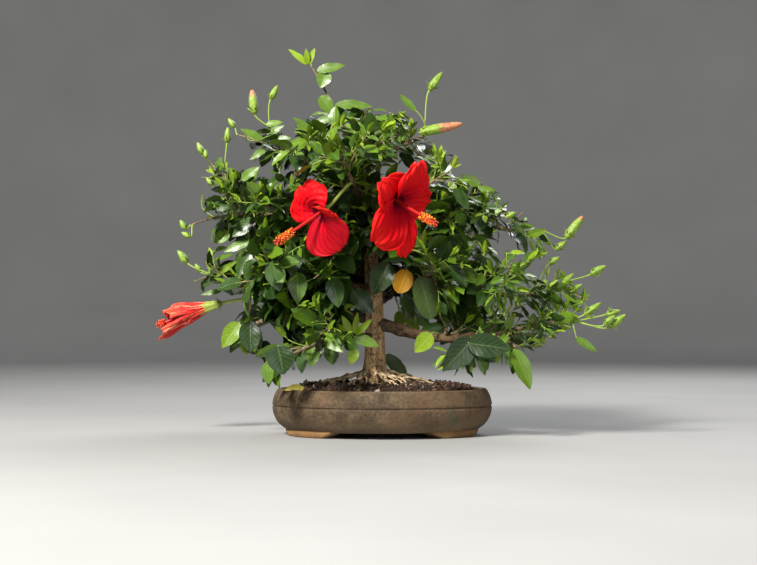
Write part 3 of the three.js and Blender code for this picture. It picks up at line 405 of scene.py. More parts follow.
BUD = dict(rows=9, sides=15, teeth=0.26, dip=0.3, dip_over=0.08, ridge=0.13, bracts=7, bract_share=0.6,
           bract_most=24, stalk=0.95, lead=0.22, blunt=0.7, blunt_opening=0.42, inner=0.94)
BRACT = dict(width=0.2, fold=0.3, bend=0.25)
SPACE_MARGIN = 1.6
LEAF_MINGLE = -14  # leaves may reach this far into a neighbour's space
LIMB_MARGIN = 1.5
POT_MARGIN = 6

# Blooms' sizes, and the balls of room that each keeps: shares of its length along it, steps to the front,
# and a share for their size

PETAL_ROWS, PETAL_COLUMNS, FUNNEL_ROWS = 34, 41, 10
BLOOM = dict(half_width=25, root_half=4, throat=3, roundness=0.6, least_radius=10, stalk=(1.6, 2.2),
             calyx_share=0.24, calyx_wall=1.3, column_share=1.22, column=(2.3, 1.5), column_rise=1,
             funnel=1.3, funnel_share=0.24, stamens_from=0.68, stamens=84, sag=9)
STAMEN = dict(foot=1.3, length=(1.8, 4.2), lean=(0.2, 0.7), bow=0.4, radius=0.3, knob=1.3,
              variety=(0.8, 1.25), last=0.97, closed_from=0.9)
STIGMA = dict(lobes=5, reach=3.2, radius=0.45, knob=1.6)
OPEN_ROOM = ([0.38], [0, 25, 50, 75], 0.8)
CLOSED_ROOM = ([0.25, 0.6, 0.95], [0], 0.27)
STALK_ROOM = 3

# Colours: the grit's two to each kind, and for each kind of leaf its shade, light and vein, its roughness and
# how much it shines

# The grit's colours hold its own tones, darkened by painted shade from the crown above it.
GRIT_COLOURS = {
    "tan": ((0.028, 0.015, 0.007), (0.09, 0.053, 0.025)),
    "pale": ((0.12, 0.1, 0.072), (0.28, 0.235, 0.18)),
    "red": ((0.022, 0.01, 0.006), (0.06, 0.024, 0.012)),
}
LEAF_FINISHES = {
    "dark": ((0.009, 0.027, 0.004), (0.033, 0.077, 0.009), (0.07, 0.125, 0.03), 0.22, 1),
    "mid": ((0.032, 0.08, 0.005), (0.092, 0.175, 0.009), (0.15, 0.24, 0.035), 0.26, 1),
    "young": ((0.095, 0.18, 0.007), (0.22, 0.33, 0.014), (0.29, 0.4, 0.055), 0.32, 0.5),
    "dull": ((0.026, 0.05, 0.008), (0.05, 0.085, 0.016), (0.1, 0.145, 0.045), 0.42, 0.7),
    "yellow": ((0.17, 0.073, 0.001), (0.31, 0.145, 0.002), (0.38, 0.21, 0.015), 0.32, 0.4),
    "straw": ((0.56, 0.44, 0.05), (0.8, 0.66, 0.13), (0.82, 0.7, 0.22), 0.45, 1),
}


# Curves and small vector work


def unit(vectors):
    """Vectors divided by their own lengths."""
    return vectors / np.linalg.norm(vectors, axis=-1, keepdims=True)


def mix(low, high, share):
    """The value at a share of the way from low to high."""
    return low + (high - low) * share


def curve_points(controls, shares):
    """Points of a Bezier curve: its controls are drawn together pair by pair until one a share is left."""
    points = [np.asarray(control, float) for control in controls]
    shares = np.asarray(shares, float)[..., None]
    while len(points) > 1:
        points = [mix(a, b, shares) for a, b in zip(points, points[1:])]
    return points[0]


def curve_way(controls, share):
    """The unit direction of a Bezier curve: the curve of the steps between its controls."""
    controls = np.asarray(controls, float)
    return unit(curve_points(controls[1:] - controls[:-1], share))


def curve_length(controls):
    """A curve's length, as a chain of short straight steps."""
    points = curve_points(controls, np.linspace(0, 1, 60))
    return np.linalg.norm(np.diff(points, axis=0), axis=1).sum()


def square_to(axis, angle):
    """A unit direction square to an axis, turned about it by an angle from the level."""
    level = np.array([axis[1], -axis[0], 0.0])
    side = np.array([1.0, 0.0, 0.0]) if level @ level < 1e-6 else unit(level)
    rise = unit(np.cross(side, axis))
    return side * np.cos(angle) + rise * np.sin(angle)


def square_facing(facing, along):
    """A facing made square to a leaf's own way."""
    return unit(facing - along * (facing @ along))


def round_axis(radius, angle, height, depth=1.0):
    """Points round the upright axis, by radius, angle and height, with their depth drawn in by a share."""
    return np.stack(np.broadcast_arrays(radius * np.cos(angle), depth * radius * np.sin(angle), height), -1)


def seeded(seed):
    """A repeatable stream of numbers from 0 to 1, by repeated multiplication and remainder."""
    state = seed

    def draw():
        nonlocal state
        state = state * 16807 % 2147483647
        return state / 2147483647

    return draw


# Meshes


def grid_faces(rows, columns, around=False, copies=1):
    """Quads of grids of rows by columns, closed round in the second direction if asked, for each copy."""
    row = np.arange(rows - 1)[:, None] * columns
    step = np.arange(columns if around else columns - 1)[None, :]
    after = (step + 1) % columns
    one = np.stack([row + step, row + after, row + columns + after, row + columns + step], -1).reshape(-1, 4)
    shift = np.arange(copies)[:, None, None] * rows * columns
    return (one[None] + shift).reshape(-1, 4)


class Heap:
    """Shapes of one kind gathered into one joined mesh, with a UV place and a tint for each point."""

    def __init__(self):
        self.points, self.faces, self.places, self.tints = [], [], [], []
        self.count = 0

    def add(self, points, face_blocks, places=None, tints=0.5):
        """Points of any grid shape in millimetres, blocks of faces, and UV places and tints for them."""
        shape = points.shape[:-1]
        self.points.append(points.reshape(-1, 3))
        self.faces += [np.asarray(block) + self.count for block in face_blocks]
        grid = np.zeros(shape + (2,)) if places is None else np.broadcast_to(places, shape + (2,))
        self.places.append(grid.reshape(-1, 2))
        self.tints.append(np.broadcast_to(tints, shape).reshape(-1))
        self.count += int(np.prod(shape))

    def make(self, name, look, slot, nodes, thickness=0):
        """The joined mesh as a piece that rides on the plant, in a finish, standing for solids' nodes."""
        points = np.concatenate(self.points) * MM
        corners = np.concatenate([block.ravel() for block in self.faces]).astype(np.int32)
        sizes = np.concatenate([np.full(len(block), block.shape[1]) for block in self.faces])
        mesh = bpy.data.meshes.new(name)
        mesh.vertices.add(len(points))
        mesh.vertices.foreach_set("co", points.astype(np.float32).ravel())
        mesh.loops.add(len(corners))
        mesh.loops.foreach_set("vertex_index", corners)
        mesh.polygons.add(len(sizes))
        mesh.polygons.foreach_set("loop_start", (np.cumsum(sizes) - sizes).astype(np.int32))
        mesh.update(calc_edges=True)
        mesh.shade_smooth()
        places = np.concatenate(self.places)[corners]
        mesh.uv_layers.new(name="UVMap").data.foreach_set("uv", places.astype(np.float32).ravel())
        tints = np.concatenate(self.tints).astype(np.float32)
        mesh.attributes.new("tint", "FLOAT", "POINT").data.foreach_set("value", tints)
        mesh.materials.append(look.material)
        piece = bpy.data.objects.new(name, mesh)
        bpy.context.scene.collection.objects.link(piece)
        if thickness:
            wall = piece.modifiers.new("wall", "SOLIDIFY")
            wall.thickness = thickness * MM
            wall.offset = 0
        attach(piece, BODY)
        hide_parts(*nodes)


def tubes(heap, paths, radii, sides, tints=0.5):
    """Tubes: round each point of each path a ring of points square to the path, at its radius.

    Paths are (tubes, steps, 3) and radii (tubes, steps) or (tubes, steps, sides). The ends are closed flat.
    """
    paths = np.asarray(paths, float)
    radii = np.asarray(radii, float)
    copies, steps = paths.shape[:2]
    radii = np.broadcast_to(radii[..., None] if radii.ndim == 2 else radii, (copies, steps, sides))
    along = unit(np.gradient(paths, axis=1))
    whole = unit(paths[:, -1] - paths[:, 0])
    level = np.where(np.abs(whole[:, 2:]) < 0.8, UP, np.array([1.0, 0.0, 0.0]))[:, None, :]
    side = unit(np.cross(along, level))
    rise = np.cross(along, side)
    angle = (2 * np.pi * np.arange(sides) / sides)[:, None]
    ring = np.cos(angle) * side[:, :, None, :] + np.sin(angle) * rise[:, :, None, :]
    points = paths[:, :, None, :] + radii[..., None] * ring
    faces = grid_faces(steps, sides, around=True, copies=copies)
    first = np.arange(copies)[:, None] * steps * sides + np.arange(sides)[None, ::-1]
    last = (np.arange(copies)[:, None] + 1) * steps * sides - sides + np.arange(sides)[None, :]
    share = np.linspace(0, 1, steps)[None, :, None]
    turn = (np.arange(sides) / sides)[None, None, :]
    places = np.stack(np.broadcast_arrays(turn, share, np.zeros((copies, 1, 1)))[:2], -1)
    tints = np.asarray(tints, float)
    heap.add(points, [faces, first, last], places, tints.reshape(tints.shape + (1,) * (3 - tints.ndim)))


# Materials


class Shade:
    """A socket's value in a material: arithmetic on it adds Math nodes."""

    def __init__(self, look, socket):
        self.look = look
        self.socket = socket

    def sum(self, operation, *values):
        """One Math node on these values."""
        return self.look.node("ShaderNodeMath", {"operation": operation}, dict(enumerate(values)))

    def __add__(self, other):
        return self.sum("ADD", self, other)

    def __sub__(self, other):
        return self.sum("SUBTRACT", self, other)

    def __rsub__(self, other):
        return self.sum("SUBTRACT", other, self)

    def __mul__(self, other):
        return self.sum("MULTIPLY", self, other)

    def __abs__(self):
        return self.sum("ABSOLUTE", self)

    def sine(self):
        return self.sum("SINE", self)

    def above(self, low, high):
        """0 below low, 1 above high, and smooth between."""
        sockets = {"Value": self, "From Min": low, "From Max": high}
        return self.look.node("ShaderNodeMapRange", {"interpolation_type": "SMOOTHSTEP"}, sockets)

    __radd__ = __add__
    __rmul__ = __mul__


class Look:
    """A material: its nodes, its Principled shader, and the patterns that its surface is made of."""

    def __init__(self, name, **constants):
        self.material = bpy.data.materials.new(name)
        self.material.use_nodes = True
        self.tree = self.material.node_tree
        self.shader = self.tree.nodes["Principled BSDF"]
        for socket, value in constants.items():
            self.shader.inputs[socket.replace("_", " ")].default_value = value
        self.object = self.node("ShaderNodeTexCoord", output="Object")

    def node(self, kind, settings=(), sockets=(), output=0):
        """Any node: its settings are set first, then the values or links of its sockets."""
        made = self.tree.nodes.new(kind)
        settings = dict(settings)
        for place, (position, colour) in enumerate(settings.pop("stops", ())):
            elements = made.color_ramp.elements
            element = elements[place] if place < 2 else elements.new(position)
            element.position = position
            element.color = (*colour, 1)
        for name, value in settings.items():
            setattr(made, name, value)
        for name, value in dict(sockets).items():
            if isinstance(value, Shade):
                self.tree.links.new(value.socket, made.inputs[name])
            else:
                made.inputs[name].default_value = value
        return Shade(self, made.outputs[output])

    def set(self, **sockets):
        """Links what changes over the surface to the shader."""
        for name, value in sockets.items():
            self.tree.links.new(value.socket, self.shader.inputs[name.replace("_", " ")])

    def noise(self, scale, detail=3.0, stretch=(1, 1, 1)):
        """Cloudy noise on the object's own coordinates, `scale` clouds a metre, drawn out by a stretch."""
        where = self.node("ShaderNodeMapping", {}, {"Vector": self.object, "Scale": stretch})
        sockets = {"Vector": where, "Scale": scale, "Detail": detail, "Roughness": 0.55}
        return self.node("ShaderNodeTexNoise", {}, sockets, "Fac")

    def cells(self, scale):
        """The distance to the nearest of scattered points, `scale` of them a metre."""
        return self.node("ShaderNodeTexVoronoi", {}, {"Vector": self.object, "Scale": scale}, "Distance")

    def split(self, vector):
        """The three numbers of a vector."""
        made = self.node("ShaderNodeSeparateXYZ", {}, {"Vector": vector})
        return [Shade(self, socket) for socket in made.socket.node.outputs]

    def place(self):
        """The piece's own UV place, as two numbers."""
        return self.split(self.node("ShaderNodeTexCoord", output="UV"))[:2]

    def tint(self):
        """The tint that each shape was given."""
        return self.node("ShaderNodeAttribute", {"attribute_name": "tint"}, {}, "Fac")

    def ramp(self, share, *stops):
        """A colour for each share, along stops of (position, colour)."""
        return self.node("ShaderNodeValToRGB", {"stops": stops}, {"Fac": share}, "Color")

    def blend(self, share, low, high):
        """Two colours mixed by a share."""
        colours = [value if isinstance(value, Shade) else (*value, 1) for value in (low, high)]
        return self.node("ShaderNodeMix", {"data_type": "RGBA"}, {0: share, 6: colours[0], 7: colours[1]}, 2)

    def bump(self, height, strength, depth):
        """A normal bent by a height, `depth` millimetres deep."""
        sockets = {"Height": height, "Strength": strength, "Distance": depth * MM}
        self.set(Normal=self.node("ShaderNodeBump", {}, sockets, "Normal"))


def stoneware_look():
    """Grey-brown unglazed clay: clouds, speckles, dust below, a dark groove, some green bloom, a painted lip
    highlight.
    """
    look = Look("stoneware", Specular_IOR_Level=0.3)
    side, depth, height = look.split(look.object)
    clouds = look.noise(14, 5)
    blotches = look.noise(60, 5)
    streaks = look.noise(30, 4, (1, 1, 3))
    speckle = look.noise(700, 2)
    mottle = clouds * 0.35 + blotches * 0.3 + streaks * 0.1 + look.noise(240, 4) * 0.25
    clay = look.ramp(mottle, (0.42, (0.042, 0.027, 0.014)), (0.5, (0.078, 0.052, 0.028)),
                     (0.58, (0.128, 0.087, 0.048)))
    rusty = look.noise(9, 3).above(0.5, 0.66)
    clay = look.blend(rusty * 0.45, clay, (0.125, 0.064, 0.032))
    dusty = look.blend((1 - height.above(0.008, 0.034)) * clouds, clay, (0.17, 0.116, 0.064))
    groove = 1 - abs(height - POT["belt_height"] * MM).above(0.0, 0.002)
    dark = look.blend(groove * 0.35, dusty, (0.035, 0.025, 0.018))
    green = look.noise(22, 3, (1, 1, 0.5)).above(0.62, 0.74) * look.noise(160, 3).above(0.4, 0.6)
    beside = abs(side - STAIN["x"] * MM) * (1 / MM / STAIN["half_width"])
    off = beside + abs(height - STAIN["height"] * MM) * (1 / MM / STAIN["half_height"])
    patchy = look.noise(90, 3, (1, 1, 0.4)).above(0.4, 0.6)
    run = (1 - off.above(0.3, 1.2)) * (1 - depth.above(-0.02, 0.0)) * patchy
    mossy = look.blend((green * 0.45 + run * 0.55).above(0, 1), dark, (0.04, 0.078, 0.05))
    # Painted highlight: the lip's top is made paler in streaks, as if it caught the light.
    lip_highlight = look.blend(height.above(0.0575, 0.0605) * streaks, mossy, (0.165, 0.112, 0.064))
    flecks = look.blend(speckle.above(0.62, 0.7) * 0.5, lip_highlight, (0.035, 0.025, 0.02))
    look.set(Base_Color=flecks, Roughness=0.62 + clouds * 0.3)
    look.bump(blotches * 0.8 + look.noise(420, 4) * 0.9, 0.8, 1.1)
    return look


def bare_clay_look():
    """The feet's paler, warmer clay with scuffs."""
    look = Look("bare_clay", Specular_IOR_Level=0.3)
    clouds = look.noise(40, 5)
    colour = look.ramp(clouds, (0.3, (0.15, 0.08, 0.032)), (0.55, (0.26, 0.14, 0.055)),
                       (0.75, (0.34, 0.2, 0.09)))
    scuffed = look.blend(look.noise(300, 3).above(0.58, 0.7) * 0.6, colour, (0.08, 0.045, 0.022))
    look.set(Base_Color=scuffed, Roughness=0.7 + clouds * 0.2)
    look.bump(look.noise(500, 3), 0.4, 0.4)
    return look


def bark_look(name, pale, dark, spots):
    """Tan bark: streaks drawn out along the height, scattered dark pores and pale scars."""
    look = Look(name, Specular_IOR_Level=0.25)
    streaks = look.noise(150, 6, (1, 1, 0.22))
    clouds = look.noise(45, 4)
    colour = look.ramp(streaks * 0.6 + clouds * 0.4, (0.36, dark), (0.48, pale),
                       (0.62, tuple(min(1, 1.5 * value) for value in pale)))
    pores = look.noise(460, 3, (1, 1, 0.7)).above(0.51, 0.6) * look.noise(110, 3).above(0.34, 0.58)
    pored = look.blend(pores * 0.88, colour, spots)
    grime = look.blend(look.noise(18, 4).above(0.5, 0.75) * 0.5, pored, dark)
    look.set(Base_Color=grime, Roughness=0.75 + streaks * 0.2)
    look.bump(streaks * 0.9 + pores * -0.6 + look.noise(420, 4) * 0.5, 0.9, 1.3)
    return look


def shoot_look(name, old, young):
    """Green or browning shoots: a colour from old to young by tint, with fine pale dots."""
    look = Look(name, Specular_IOR_Level=0.4)
    clouds = look.noise(120, 4)
    colour = look.blend((look.tint() + (clouds - 0.5) * 0.8).above(0.1, 0.9), old, young)
    dotted = look.blend(look.noise(1400, 2).above(0.6, 0.7) * 0.35, colour, (0.42, 0.36, 0.22))
    look.set(Base_Color=dotted, Roughness=0.5 + clouds * 0.2)
    look.bump(look.noise(900, 3), 0.35, 0.3)
    return look


def leaf_look(name, shade, light, vein, rough, shine):
    """A glossy blade: paler midrib, slanting side veins, faint blotches, a tint from leaf to leaf, painted
    light at its margin.
    """
    look = Look(name, Specular_IOR_Level=0.38 * shine, Coat_Weight=0.16 * shine, Coat_Roughness=0.2)
    across, along = look.place()
    out = abs(across * 2 - 1)
    midrib = 1 - out.above(0.02, 0.09)
    wave = ((along - out * 0.3) * (2 * np.pi * 7)).sine()
    side_veins = wave.above(0.8, 1.0) * (1 - out.above(0.75, 1.0))
    veins = (midrib + side_veins * 0.7).above(0.1, 1.0)
    blotches = look.noise(160, 3)
    colour = look.blend((look.tint() * 0.8 + blotches * 0.5).above(0.2, 1.0), shade, light)
    veined = look.blend(veins * 0.55, colour, vein)
    # Painted light: the margin is made paler, for light showing through the blade's thin edge.
    edge = look.blend(out.above(0.9, 1.0) * 0.3, veined, light)
    look.set(Base_Color=edge, Roughness=rough + blotches * 0.22)
    look.bump(wave * 0.12 + midrib * -0.5 + blotches * 0.25, 0.45, 0.6)
    return look


def petal_look():
    """Scarlet satin: a crimson throat, fan veins along the petal, brighter creased margins, painted shade by
    depth.
    """
    look = Look("petals", Specular_IOR_Level=0.12)
    across, along = look.place()
    clouds = look.noise(90, 4)
    colour = look.ramp(along + (clouds - 0.5) * 0.12, (0.0, (0.07, 0.0, 0.01)), (0.2, (0.24, 0.0, 0.016)),
                       (0.36, (0.48, 0.0, 0.01)), (0.7, (0.66, 0.001, 0.005)), (1.0, (0.74, 0.01, 0.008)))
    fan = ((across - 0.5) * 60 + (clouds - 0.5) * 6).sine()
    veined = look.blend(fan.above(0.75, 1.0) * 0.35, colour, (0.42, 0.0, 0.012))
    blush = look.blend(look.noise(45, 3).above(0.55, 0.8) * 0.3, veined, (0.82, 0.04, 0.012))
    # Painted shade: a petal's depth, carried in its tint, darkens it towards crimson beyond the throat.
    deep = look.blend(look.tint() * along.above(0.2, 0.6), blush, (0.2, 0.0, 0.008))
    look.set(Base_Color=deep, Roughness=0.5 + clouds * 0.15)
    look.bump(fan * 0.4 + look.noise(260, 4) * 0.6, 0.5, 0.9)
    return look


def fading_look():
    """A closing petal: red to salmon, pale streaks on its creases, painted shade of deep crimson in the
    hollow.
    """
    look = Look("petals_closing", Specular_IOR_Level=0.3, Sheen_Weight=0.1, Sheen_Roughness=0.4)
    across, along = look.place()
    clouds = look.noise(70, 4)
    colour = look.ramp(along + (clouds - 0.5) * 0.5, (0.3, (0.6, 0.07, 0.025)), (0.5, (0.6, 0.025, 0.01)),
                       (0.75, (0.5, 0.008, 0.008)), (1.0, (0.66, 0.08, 0.035)))
    streaks = ((across - 0.5) * 22 + (clouds - 0.5) * 16).sine()
    pale = look.blend(streaks.above(0.35, 1.0) * clouds.above(0.42, 0.62) * 0.75, colour, (0.82, 0.36, 0.2))
    # Painted shade: petals at the back of the hollow, with low tints, are deep crimson; those beside the slit
    # keep their streaked colour.
    deep = look.blend(look.tint().above(0.35, 0.75), (0.42, 0.002, 0.008), pale)
    look.set(Base_Color=deep, Roughness=0.5 + clouds * 0.15)
    look.bump(streaks * 0.3 + look.noise(240, 4) * 0.6, 0.5, 0.7)
    return look


def clouded_look(name, low, high, rough):
    """A small thing's finish: one colour clouded into another, finely grained."""
    look = Look(name, Specular_IOR_Level=0.4)
    clouds = look.noise(260, 4)
    look.set(Base_Color=look.blend((clouds + look.tint() - 0.5).above(0.25, 0.8), low, high),
             Roughness=rough + clouds * 0.15)
    look.bump(look.noise(1200, 3), 0.3, 0.25)
    return look


def soil_look():
    """Damp dark crumb with lighter grains, darkened further by painted shade from the crown."""
    look = Look("soil", Specular_IOR_Level=0.2)
    grains = look.cells(500)
    colour = look.ramp(look.noise(240, 5), (0.3, (0.014, 0.008, 0.005)), (0.55, (0.05, 0.027, 0.016)),
                       (0.75, (0.12, 0.075, 0.048)))
    look.set(Base_Color=look.blend(grains.above(0.3, 0.5) * 0.5, colour, (0.015, 0.01, 0.007)),
             Roughness=0.9 + grains * 0.1)
    look.bump(grains * -1.0 + look.noise(500, 4), 0.9, 1.5)
    return look


# Limbs and the room round them


def taper(thick, thin):
    """A radius that falls evenly from thick to thin along a limb."""
    return lambda share: mix(thick, thin, share)


def trunk_fade(share, height):
    """What dies away up the trunk over the ground: 1 at the ground, and less by a height's exponential."""
    return np.exp(-np.maximum(curve_points(TRUNK, share)[..., 2] - GROUND, 0) / height)


def trunk_radius(share):
    """The trunk's radius: a slow taper and a flare that dies away over the ground."""
    shaft = mix(GIRTH["shaft"], GIRTH["tip"], np.asarray(share) ** GIRTH["taper_power"])
    return shaft + GIRTH["flare"] * trunk_fade(share, GIRTH["flare_height"])


Limb = namedtuple("Limb", "controls radius")
LIMBS = {"trunk": Limb(TRUNK, trunk_radius)}
for bough_name, bough in BOUGHS.items():
    start = curve_points(TRUNK, bough.at)
    LIMBS[bough_name] = Limb([start, bough.via, bough.tip], taper(bough.thick, bough.thin))


def stem_controls(mass):
    """A stem's curve: from its limb, led along the limb's own way, to its tip."""
    limb = LIMBS[mass.limb].controls
    begin, tip = curve_points(limb, mass.at), np.array(mass.tip, float)
    straight = tip - begin
    via = begin + curve_way(limb, mass.at) * np.linalg.norm(straight) * STEM["lead"]
    return [begin, via + straight * STEM["lead"] if mass.at < 1 else via, tip]


STEMS = {name: stem_controls(mass) for name, mass in MASSES.items()}
SITES = np.concatenate([curve_points(stem, SITE_SHARES) for stem in STEMS.values()])
SITE_OWNER = np.repeat(np.arange(len(STEMS)), len(SITE_SHARES))


def bloom_beads(bloom):
    """The room a bloom needs, as balls: along its stalk, round its petals, and before them if it is open."""
    calyx = np.array(bloom.calyx, float)
    faces = unit(np.array(bloom.faces))
    stalk = mix(curve_points(LIMBS[bloom.limb].controls, bloom.at), calyx, np.linspace(0, 1, 13)[:, None])
    shares, nearer, size = OPEN_ROOM if bloom.open else CLOSED_ROOM
    rows = [np.append(point, STALK_ROOM) for point in stalk]
    for share in shares:
        for step in nearer:
            middle = calyx + faces * bloom.length * share - np.array([0, step, 0])
            rows.append(np.append(middle, bloom.length * size))
    return rows


BEAD_SHARES = np.linspace(0, 1, 41)
BEADS = np.array(
    [np.append(point, radius) for limb in LIMBS.values()
     for point, radius in zip(curve_points(limb.controls, BEAD_SHARES), limb.radius(BEAD_SHARES))]
    + [bead for bloom in BLOOMS.values() for bead in bloom_beads(bloom)]
)


def inside_edge(points, slack=0):
    """Whether all points, drawn onto the trunk's plane as the camera sees them, lie in the crown's edge."""
    seen = CAMERA["distance"] / (CAMERA["distance"] + points[:, 1])
    x, z = points[:, 0] * seen, CAMERA["height"] + (points[:, 2] - CAMERA["height"]) * seen
    low, high = (np.interp(z, EDGE[:, 0], EDGE[:, side]) for side in (1, 2))
    return ((x > low - slack) & (x < high + slack)).all()


def is_open(points, boxes):
    """Whether any point lies in one of the boxes that stay open."""
    x, y, z = points.T[:, :, None]
    low_x, low_z, high_x, high_z, front, back = boxes.T
    return ((x > low_x) & (z > low_z) & (x < high_x) & (z < high_z) & (y > front) & (y < back)).any()


def are_free(points, owner, margin):
    """Whether all points keep to their own stem's space and clear of pot, limbs, blooms and clearings.

    A spray of the crown's heart has no space of its own: its owner is None.
    """
    x, y, z = points.T
    over_pot = np.hypot(x, y / POT["depth_share"]) < POT["belly_half"] + POT_MARGIN
    if (z < np.where(over_pot, GROUND + POT_MARGIN, POT_MARGIN)).any():
        return False
    if (np.abs(x) > CROWN["half_width"]).any() or (np.abs(y) > CROWN["half_depth"]).any():
        return False
    if z.max() > CROWN["top"] or is_open(points, CLEARINGS):
        return False
    if owner is not None:
        far = np.linalg.norm(points[:, None] - SITES[None], axis=2)
        own = far[:, SITE_OWNER == owner].min(1)
        other = far[:, SITE_OWNER != owner].min(1)
        if (other - own <= margin).any():
            return False
    return (np.linalg.norm(points[:, None] - BEADS[None, :, :3], axis=2) > BEADS[:, 3] + LIMB_MARGIN).all()


# Growth: shoots and leaves

Shoot = namedtuple("Shoot", "controls bare thick length")
Leaf = namedtuple("Leaf", "root along face length youth")


def outwards_from(root):
    """The direction from the crown's middle to a place."""
    return unit(root - CROWN["middle"])


def side_shoots(parent, count, reach, owner, draw, bare, thick, margin):
    """Side twigs: each leaves its parent about a golden turn after the last, shortened until it is free."""
    grown = []
    for i in range(count):
        share = mix(STEM["first_twig"], STEM["last_twig"], (i + 0.5 * draw()) / count)
        turn = GOLDEN_TURN * i + draw()
        length = reach * mix(*VARIETY["twig"], draw())
        root = curve_points(parent.controls, share)
        axis = curve_way(parent.controls, share)
        way = unit(square_to(axis, turn) * TWIG_WAY["aside"] + axis * TWIG_WAY["onwards"]
                   + outwards_from(root) * TWIG_WAY["outwards"] + UP * TWIG_WAY["upwards"])
        for size in TWIG_TRIES:
            tip = root + way * length * size
            if are_free(mix(root, tip, TWIG_PROBES), owner, margin):
                lean = (axis - UP * TWIG_BEND["droop"]) * length * size * TWIG_BEND["share"]
                bend = mix(root, tip, 0.5) + lean
                grown.append(Shoot([root, bend, tip], bare, thick, length * size))
                break
    return grown


PROBE_ALONG = np.array([1, 0.56, 0.56, 0.56, 0.28, 0.28, 0.78, 0.78])[:, None]
PROBE_ACROSS = np.array([0, 0, -0.5, 0.5, -0.27, 0.27, -0.27, 0.27])[:, None]


def leaf_probes(root, along, face, length):
    """The points of a leaf that must be free: its tip and the middles of its margins."""
    across = np.cross(face, along)
    return root + along * length * PROBE_ALONG + across * length * LEAF["width_share"] * PROBE_ACROSS


def youth_of(root, share, draw):
    """How young a leaf is: more so near the crown's outside and the shoot's tip; on the right, partly painted
    back-light.
    """
    halves = [CROWN["half_width"], CROWN["half_depth"], YOUTH["half_height"]]
    reach = np.linalg.norm((root - CROWN["middle"]) / halves)
    outside = YOUTH["outside"] * reach * (0.5 + 0.5 * share)
    # The right side's extra youth brightens its leaves: partly younger growth, partly painted back-light.
    side = YOUTH["side"] * np.tanh(root[0] / YOUTH["side_reach"])
    return outside + side + YOUTH["chance"] * (draw() - YOUTH["usual"])


def rightness(x):
    """0 at the trunk and on its left, 1 well out on the right."""
    return np.clip((x - SMALLER["right_of"]) / SMALLER["over"], 0, 1)


def leaf_share(root):
    """The share of a full leaf's length that grows at a place: all low on the left, less right and above."""
    high = np.clip((root[2] - SMALLER["above"]) / SMALLER["over"], 0, 1)
    return mix(1, LEAF["least"], max(high, rightness(root[0])))


def shoot_leaves(shoot, spacing, scale, last, owner, placed, draw):
    """Leaves along a shoot up to a last share: turned about it by chance, drooping more the lower they hang.

    Each tries a few turns and sizes until it is free, and is left out if none is.
    """
    count = max(2, round((1 - shoot.bare) * shoot.length / spacing))
    leaves = []
    for j in range(count):
        share = mix(shoot.bare, last, (j + 0.7) / count)
        root = curve_points(shoot.controls, min(share, LEAF["last"]))
        axis = curve_way(shoot.controls, min(share, 1))
        turn = GOLDEN_TURN * j + 2 * np.pi * draw()
        full = scale * leaf_share(root) * LEAF["length"] * mix(*VARIETY["leaf"], draw())
        full = full * (1 - LEAF["tip_loss"] * share**3)
        highness = np.clip((root[2] - GROUND) / (CROWN["top"] - GROUND), 0, 1)
        droop = mix(LEAF_WAY["low_droop"], LEAF_WAY["high_droop"], highness)
        droop = droop * mix(*VARIETY["droop"], draw())
        outwards = outwards_from(root)
        any_way = 2 * np.pi * draw()
        facing = (np.array([np.cos(any_way), np.sin(any_way), 0]) * LEAF_FACE["any_way"]
                  + UP * LEAF_FACE["upwards"] + outwards * LEAF_FACE["outwards"])
        youth = youth_of(root, share, draw)
        for extra_turn, size in LEAF_TRIES:
            along = unit(square_to(axis, turn + extra_turn) * LEAF_WAY["aside"] + axis * LEAF_WAY["onwards"]
                         + outwards * LEAF_WAY["outwards"] - UP * droop)
            face = square_facing(facing, along)
            probes = leaf_probes(root, along, face, full * size)
            apart = np.linalg.norm(probes[:, None] - placed[None, :, :3], axis=2)
            if (apart < LEAF["apart"]).any() or is_open(probes, OPEN_SKY) or not inside_edge(probes):
                continue
            if not are_free(probes, owner, LEAF_MINGLE):
                continue
            leaves.append(Leaf(root, along, face, full * size, youth))
            placed = np.concatenate([placed, probes])
            break
    return leaves, placed


def within_depth(root, along, length):
    """The way of a leaf, turned aside where its tip would pass the crown's depth."""
    reach = np.clip(root[1] + along[1] * length, -CROWN["half_depth"], CROWN["half_depth"])
    deep = np.clip((reach - root[1]) / length, -1, 1)
    aside = unit(along * [1, 0, 1])
    return aside * np.sqrt(1 - deep**2) + np.array([0, deep, 0])


def tip_tuft(shoot, draw):
    """Small young leaves that stand round a shoot's tip, close to its own way."""
    tip, axis = curve_points(shoot.controls, 1), curve_way(shoot.controls, 1)
    first = 2 * np.pi * draw()
    leaves = []
    for k in range(TUFT["leaves"]):
        aside = square_to(axis, first + GOLDEN_TURN * k)
        along = unit(axis + aside * TUFT["spread"] * (0.5 + draw()) + UP * TUFT["rise"])
        length = mix(*TUFT["length"], draw())
        along = within_depth(tip, along, length)
        facing = UP * 0.8 + aside * -0.5 + outwards_from(tip) * 0.3
        leaves.append(Leaf(tip, along, square_facing(facing, along), length, 1.0))
    return leaves


def twig_fits(twig, slack):
    """Whether a twig keeps its end out of the open places and about inside the crown's edge."""
    points = np.array(twig.controls)
    return not is_open(points[1:], OPEN_SKY) and inside_edge(points, slack)


def tuft_fits(leaf):
    """Whether a tuft's leaf keeps out of the open places and about inside the crown's edge."""
    ends = np.stack([leaf.root, leaf.root + leaf.along * leaf.length])
    return not is_open(ends, OPEN_SKY) and inside_edge(ends, EDGE_SLACK["tuft"])


